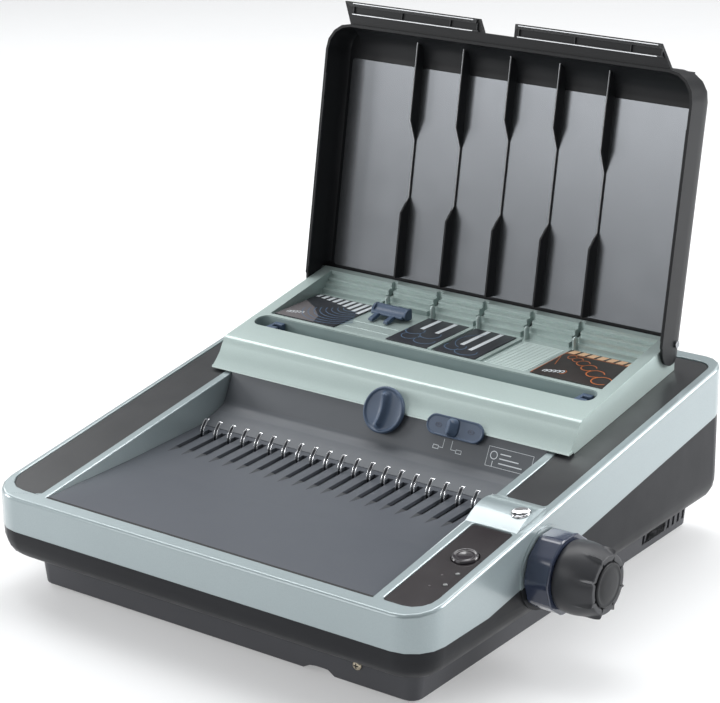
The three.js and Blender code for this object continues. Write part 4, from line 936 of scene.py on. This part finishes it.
screw_low, screw_high = machine_box("front_screw")
screw_mid = (screw_low + screw_high) / 2
screw_place = (Matrix.Translation((screw_mid.x, screw_high.y, screw_mid.z))
               @ Matrix.Rotation(math.pi / 2, 4, "X"))
head_profile = [(0.0, 1.7), (7.6, 1.7), (7.7, 3.8), (8.2, 4.0), (9.4, 3.6), (10.0, 2.4), (10.1, 0.3)]
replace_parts(piece("front_screw_head", [turned(head_profile, 40)], HOUSING, SCREW_METAL, bevel=0,
                  place=screw_place), "front_screw")
# the cross recess in the screw head, drawn as a flat black cross: painted shade
cross = [block(-2.1, 2.1, -0.45, 0.45, 10.0, 10.16), block(-0.45, 0.45, -2.1, 2.1, 10.0, 10.16)]
piece("front_screw_slot_shade", cross, HOUSING, PAINTED_SHADE, bevel=0, place=screw_place)

# ---------------------------------------------------------------- floor, lights, camera
FLOOR_SIZE, FLOOR_DROP = 24.0, 0.0002     # metres; the floor lies just under the feet
FLOOR_GLOW = 0.3
bpy.ops.mesh.primitive_plane_add(size=FLOOR_SIZE, location=(0, 0, CAD_BOX[0][2] - FLOOR_DROP))
floor = bpy.context.object
floor.name = "floor"
floor.data.materials.append(surface("floor_pale", (202, 203, 204), 0.6, specular=0.1, bump=0.0, vary=0.004))
glow = floor.data.materials[0].node_tree.nodes["Principled BSDF"]
glow.inputs["Emission Color"].default_value = (1, 1, 1, 1)
glow.inputs["Emission Strength"].default_value = FLOOR_GLOW

# a plain pale sky that grows brighter from the horizon upwards
SKY_LOW, SKY_HIGH = 0.2, 0.42
world = bpy.data.worlds.new("studio")
bpy.context.scene.world = world
world.use_nodes = True
sky_nodes, sky_links = world.node_tree.nodes, world.node_tree.links
sky = sky_nodes["Background"]
direction = sky_nodes.new("ShaderNodeTexCoord")
parts = sky_nodes.new("ShaderNodeSeparateXYZ")
sky_links.new(direction.outputs["Generated"], parts.inputs["Vector"])
fade = sky_nodes.new("ShaderNodeMapRange")
fade.interpolation_type = "SMOOTHSTEP"
fade.inputs["From Min"].default_value = 0.05
fade.inputs["From Max"].default_value = 0.85
fade.inputs["To Min"].default_value = SKY_LOW
fade.inputs["To Max"].default_value = SKY_HIGH
sky_links.new(parts.outputs["Z"], fade.inputs["Value"])
sky_links.new(fade.outputs["Result"], sky.inputs["Strength"])
sky.inputs["Color"].default_value = (0.97, 0.985, 1.0, 1)
bpy.context.scene.view_settings.view_transform = "Standard"


def area_light(name, position, aim, width, height, power):
    """A rectangular lamp at position that faces the point aim."""
    data = bpy.data.lights.new(name, "AREA")
    data.shape = "RECTANGLE"
    data.size = width
    data.size_y = height
    data.energy = power
    lamp = bpy.data.objects.new(name, data)
    bpy.context.scene.collection.objects.link(lamp)
    lamp.location = position
    lamp.rotation_euler = (Vector(aim) - Vector(position)).to_track_quat("-Z", "Y").to_euler()


# name, position, point it faces, width and height, all in metres, and watts
LAMPS = (
    ("softbox_left", (-1.45, 0.35, 1.75), (0, 0.05, 0.1), 0.85, 2.2, 28),
    ("softbox_above", (-0.3, 0.75, 2.1), (0.1, 0, 0.1), 0.9, 0.9, 16),
    ("front_left", (-1.3, -0.6, 0.45), (-0.15, -0.2, 0.05), 0.4, 0.4, 7),
    ("front_card", (-1.2, -2.4, 1.15), (0, 0.1, 0.3), 1.5, 1.5, 18),
    ("right_fill", (1.7, 1.4, 1.1), (0.2, 0.05, 0.05), 1.2, 1.2, 50),
    ("floor_wash", (0.3, 2.5, 2.7), (-0.5, 1.2, 0), 2.4, 2.4, 34),
)
for lamp in LAMPS:
    area_light(*lamp)

# the camera fitted to the photo: its place in machine millimetres, its focal length and centre in pixels
CAMERA_AZIMUTH, CAMERA_ELEVATION, CAMERA_ROLL = (math.radians(a) for a in (36.51, 20.08, -0.71))
FOCAL_PX, WIDTH_PX, HEIGHT_PX, CENTRE_X, CENTRE_Y = 2428.21, 720, 703, 364.25, 371.91
CAMERA_AT = (1086.357, -1468.016, 826.656)
SENSOR_MM = 36.0
back = Vector((math.sin(CAMERA_AZIMUTH) * math.cos(CAMERA_ELEVATION),
               -math.cos(CAMERA_AZIMUTH) * math.cos(CAMERA_ELEVATION), math.sin(CAMERA_ELEVATION)))
level = Vector((math.cos(CAMERA_AZIMUTH), math.sin(CAMERA_AZIMUTH), 0))
upright = level.cross(-back)
right = level * math.cos(CAMERA_ROLL) + upright * math.sin(CAMERA_ROLL)
up = upright * math.cos(CAMERA_ROLL) - level * math.sin(CAMERA_ROLL)
camera_data = bpy.data.cameras.new("camera")
camera_data.sensor_fit = "HORIZONTAL"
camera_data.sensor_width = SENSOR_MM
camera_data.lens = FOCAL_PX / WIDTH_PX * SENSOR_MM
camera_data.shift_x = (WIDTH_PX / 2 - CENTRE_X) / WIDTH_PX
camera_data.shift_y = (CENTRE_Y - HEIGHT_PX / 2) / WIDTH_PX
camera_data.clip_start = 0.05
camera = bpy.data.objects.new("camera", camera_data)
bpy.context.scene.collection.objects.link(camera)
camera.matrix_world = (Matrix.Translation(ORIGIN + Vector(CAMERA_AT) * MM)
                       @ Matrix((right, up, back)).transposed().to_4x4())
bpy.context.scene.camera = camera
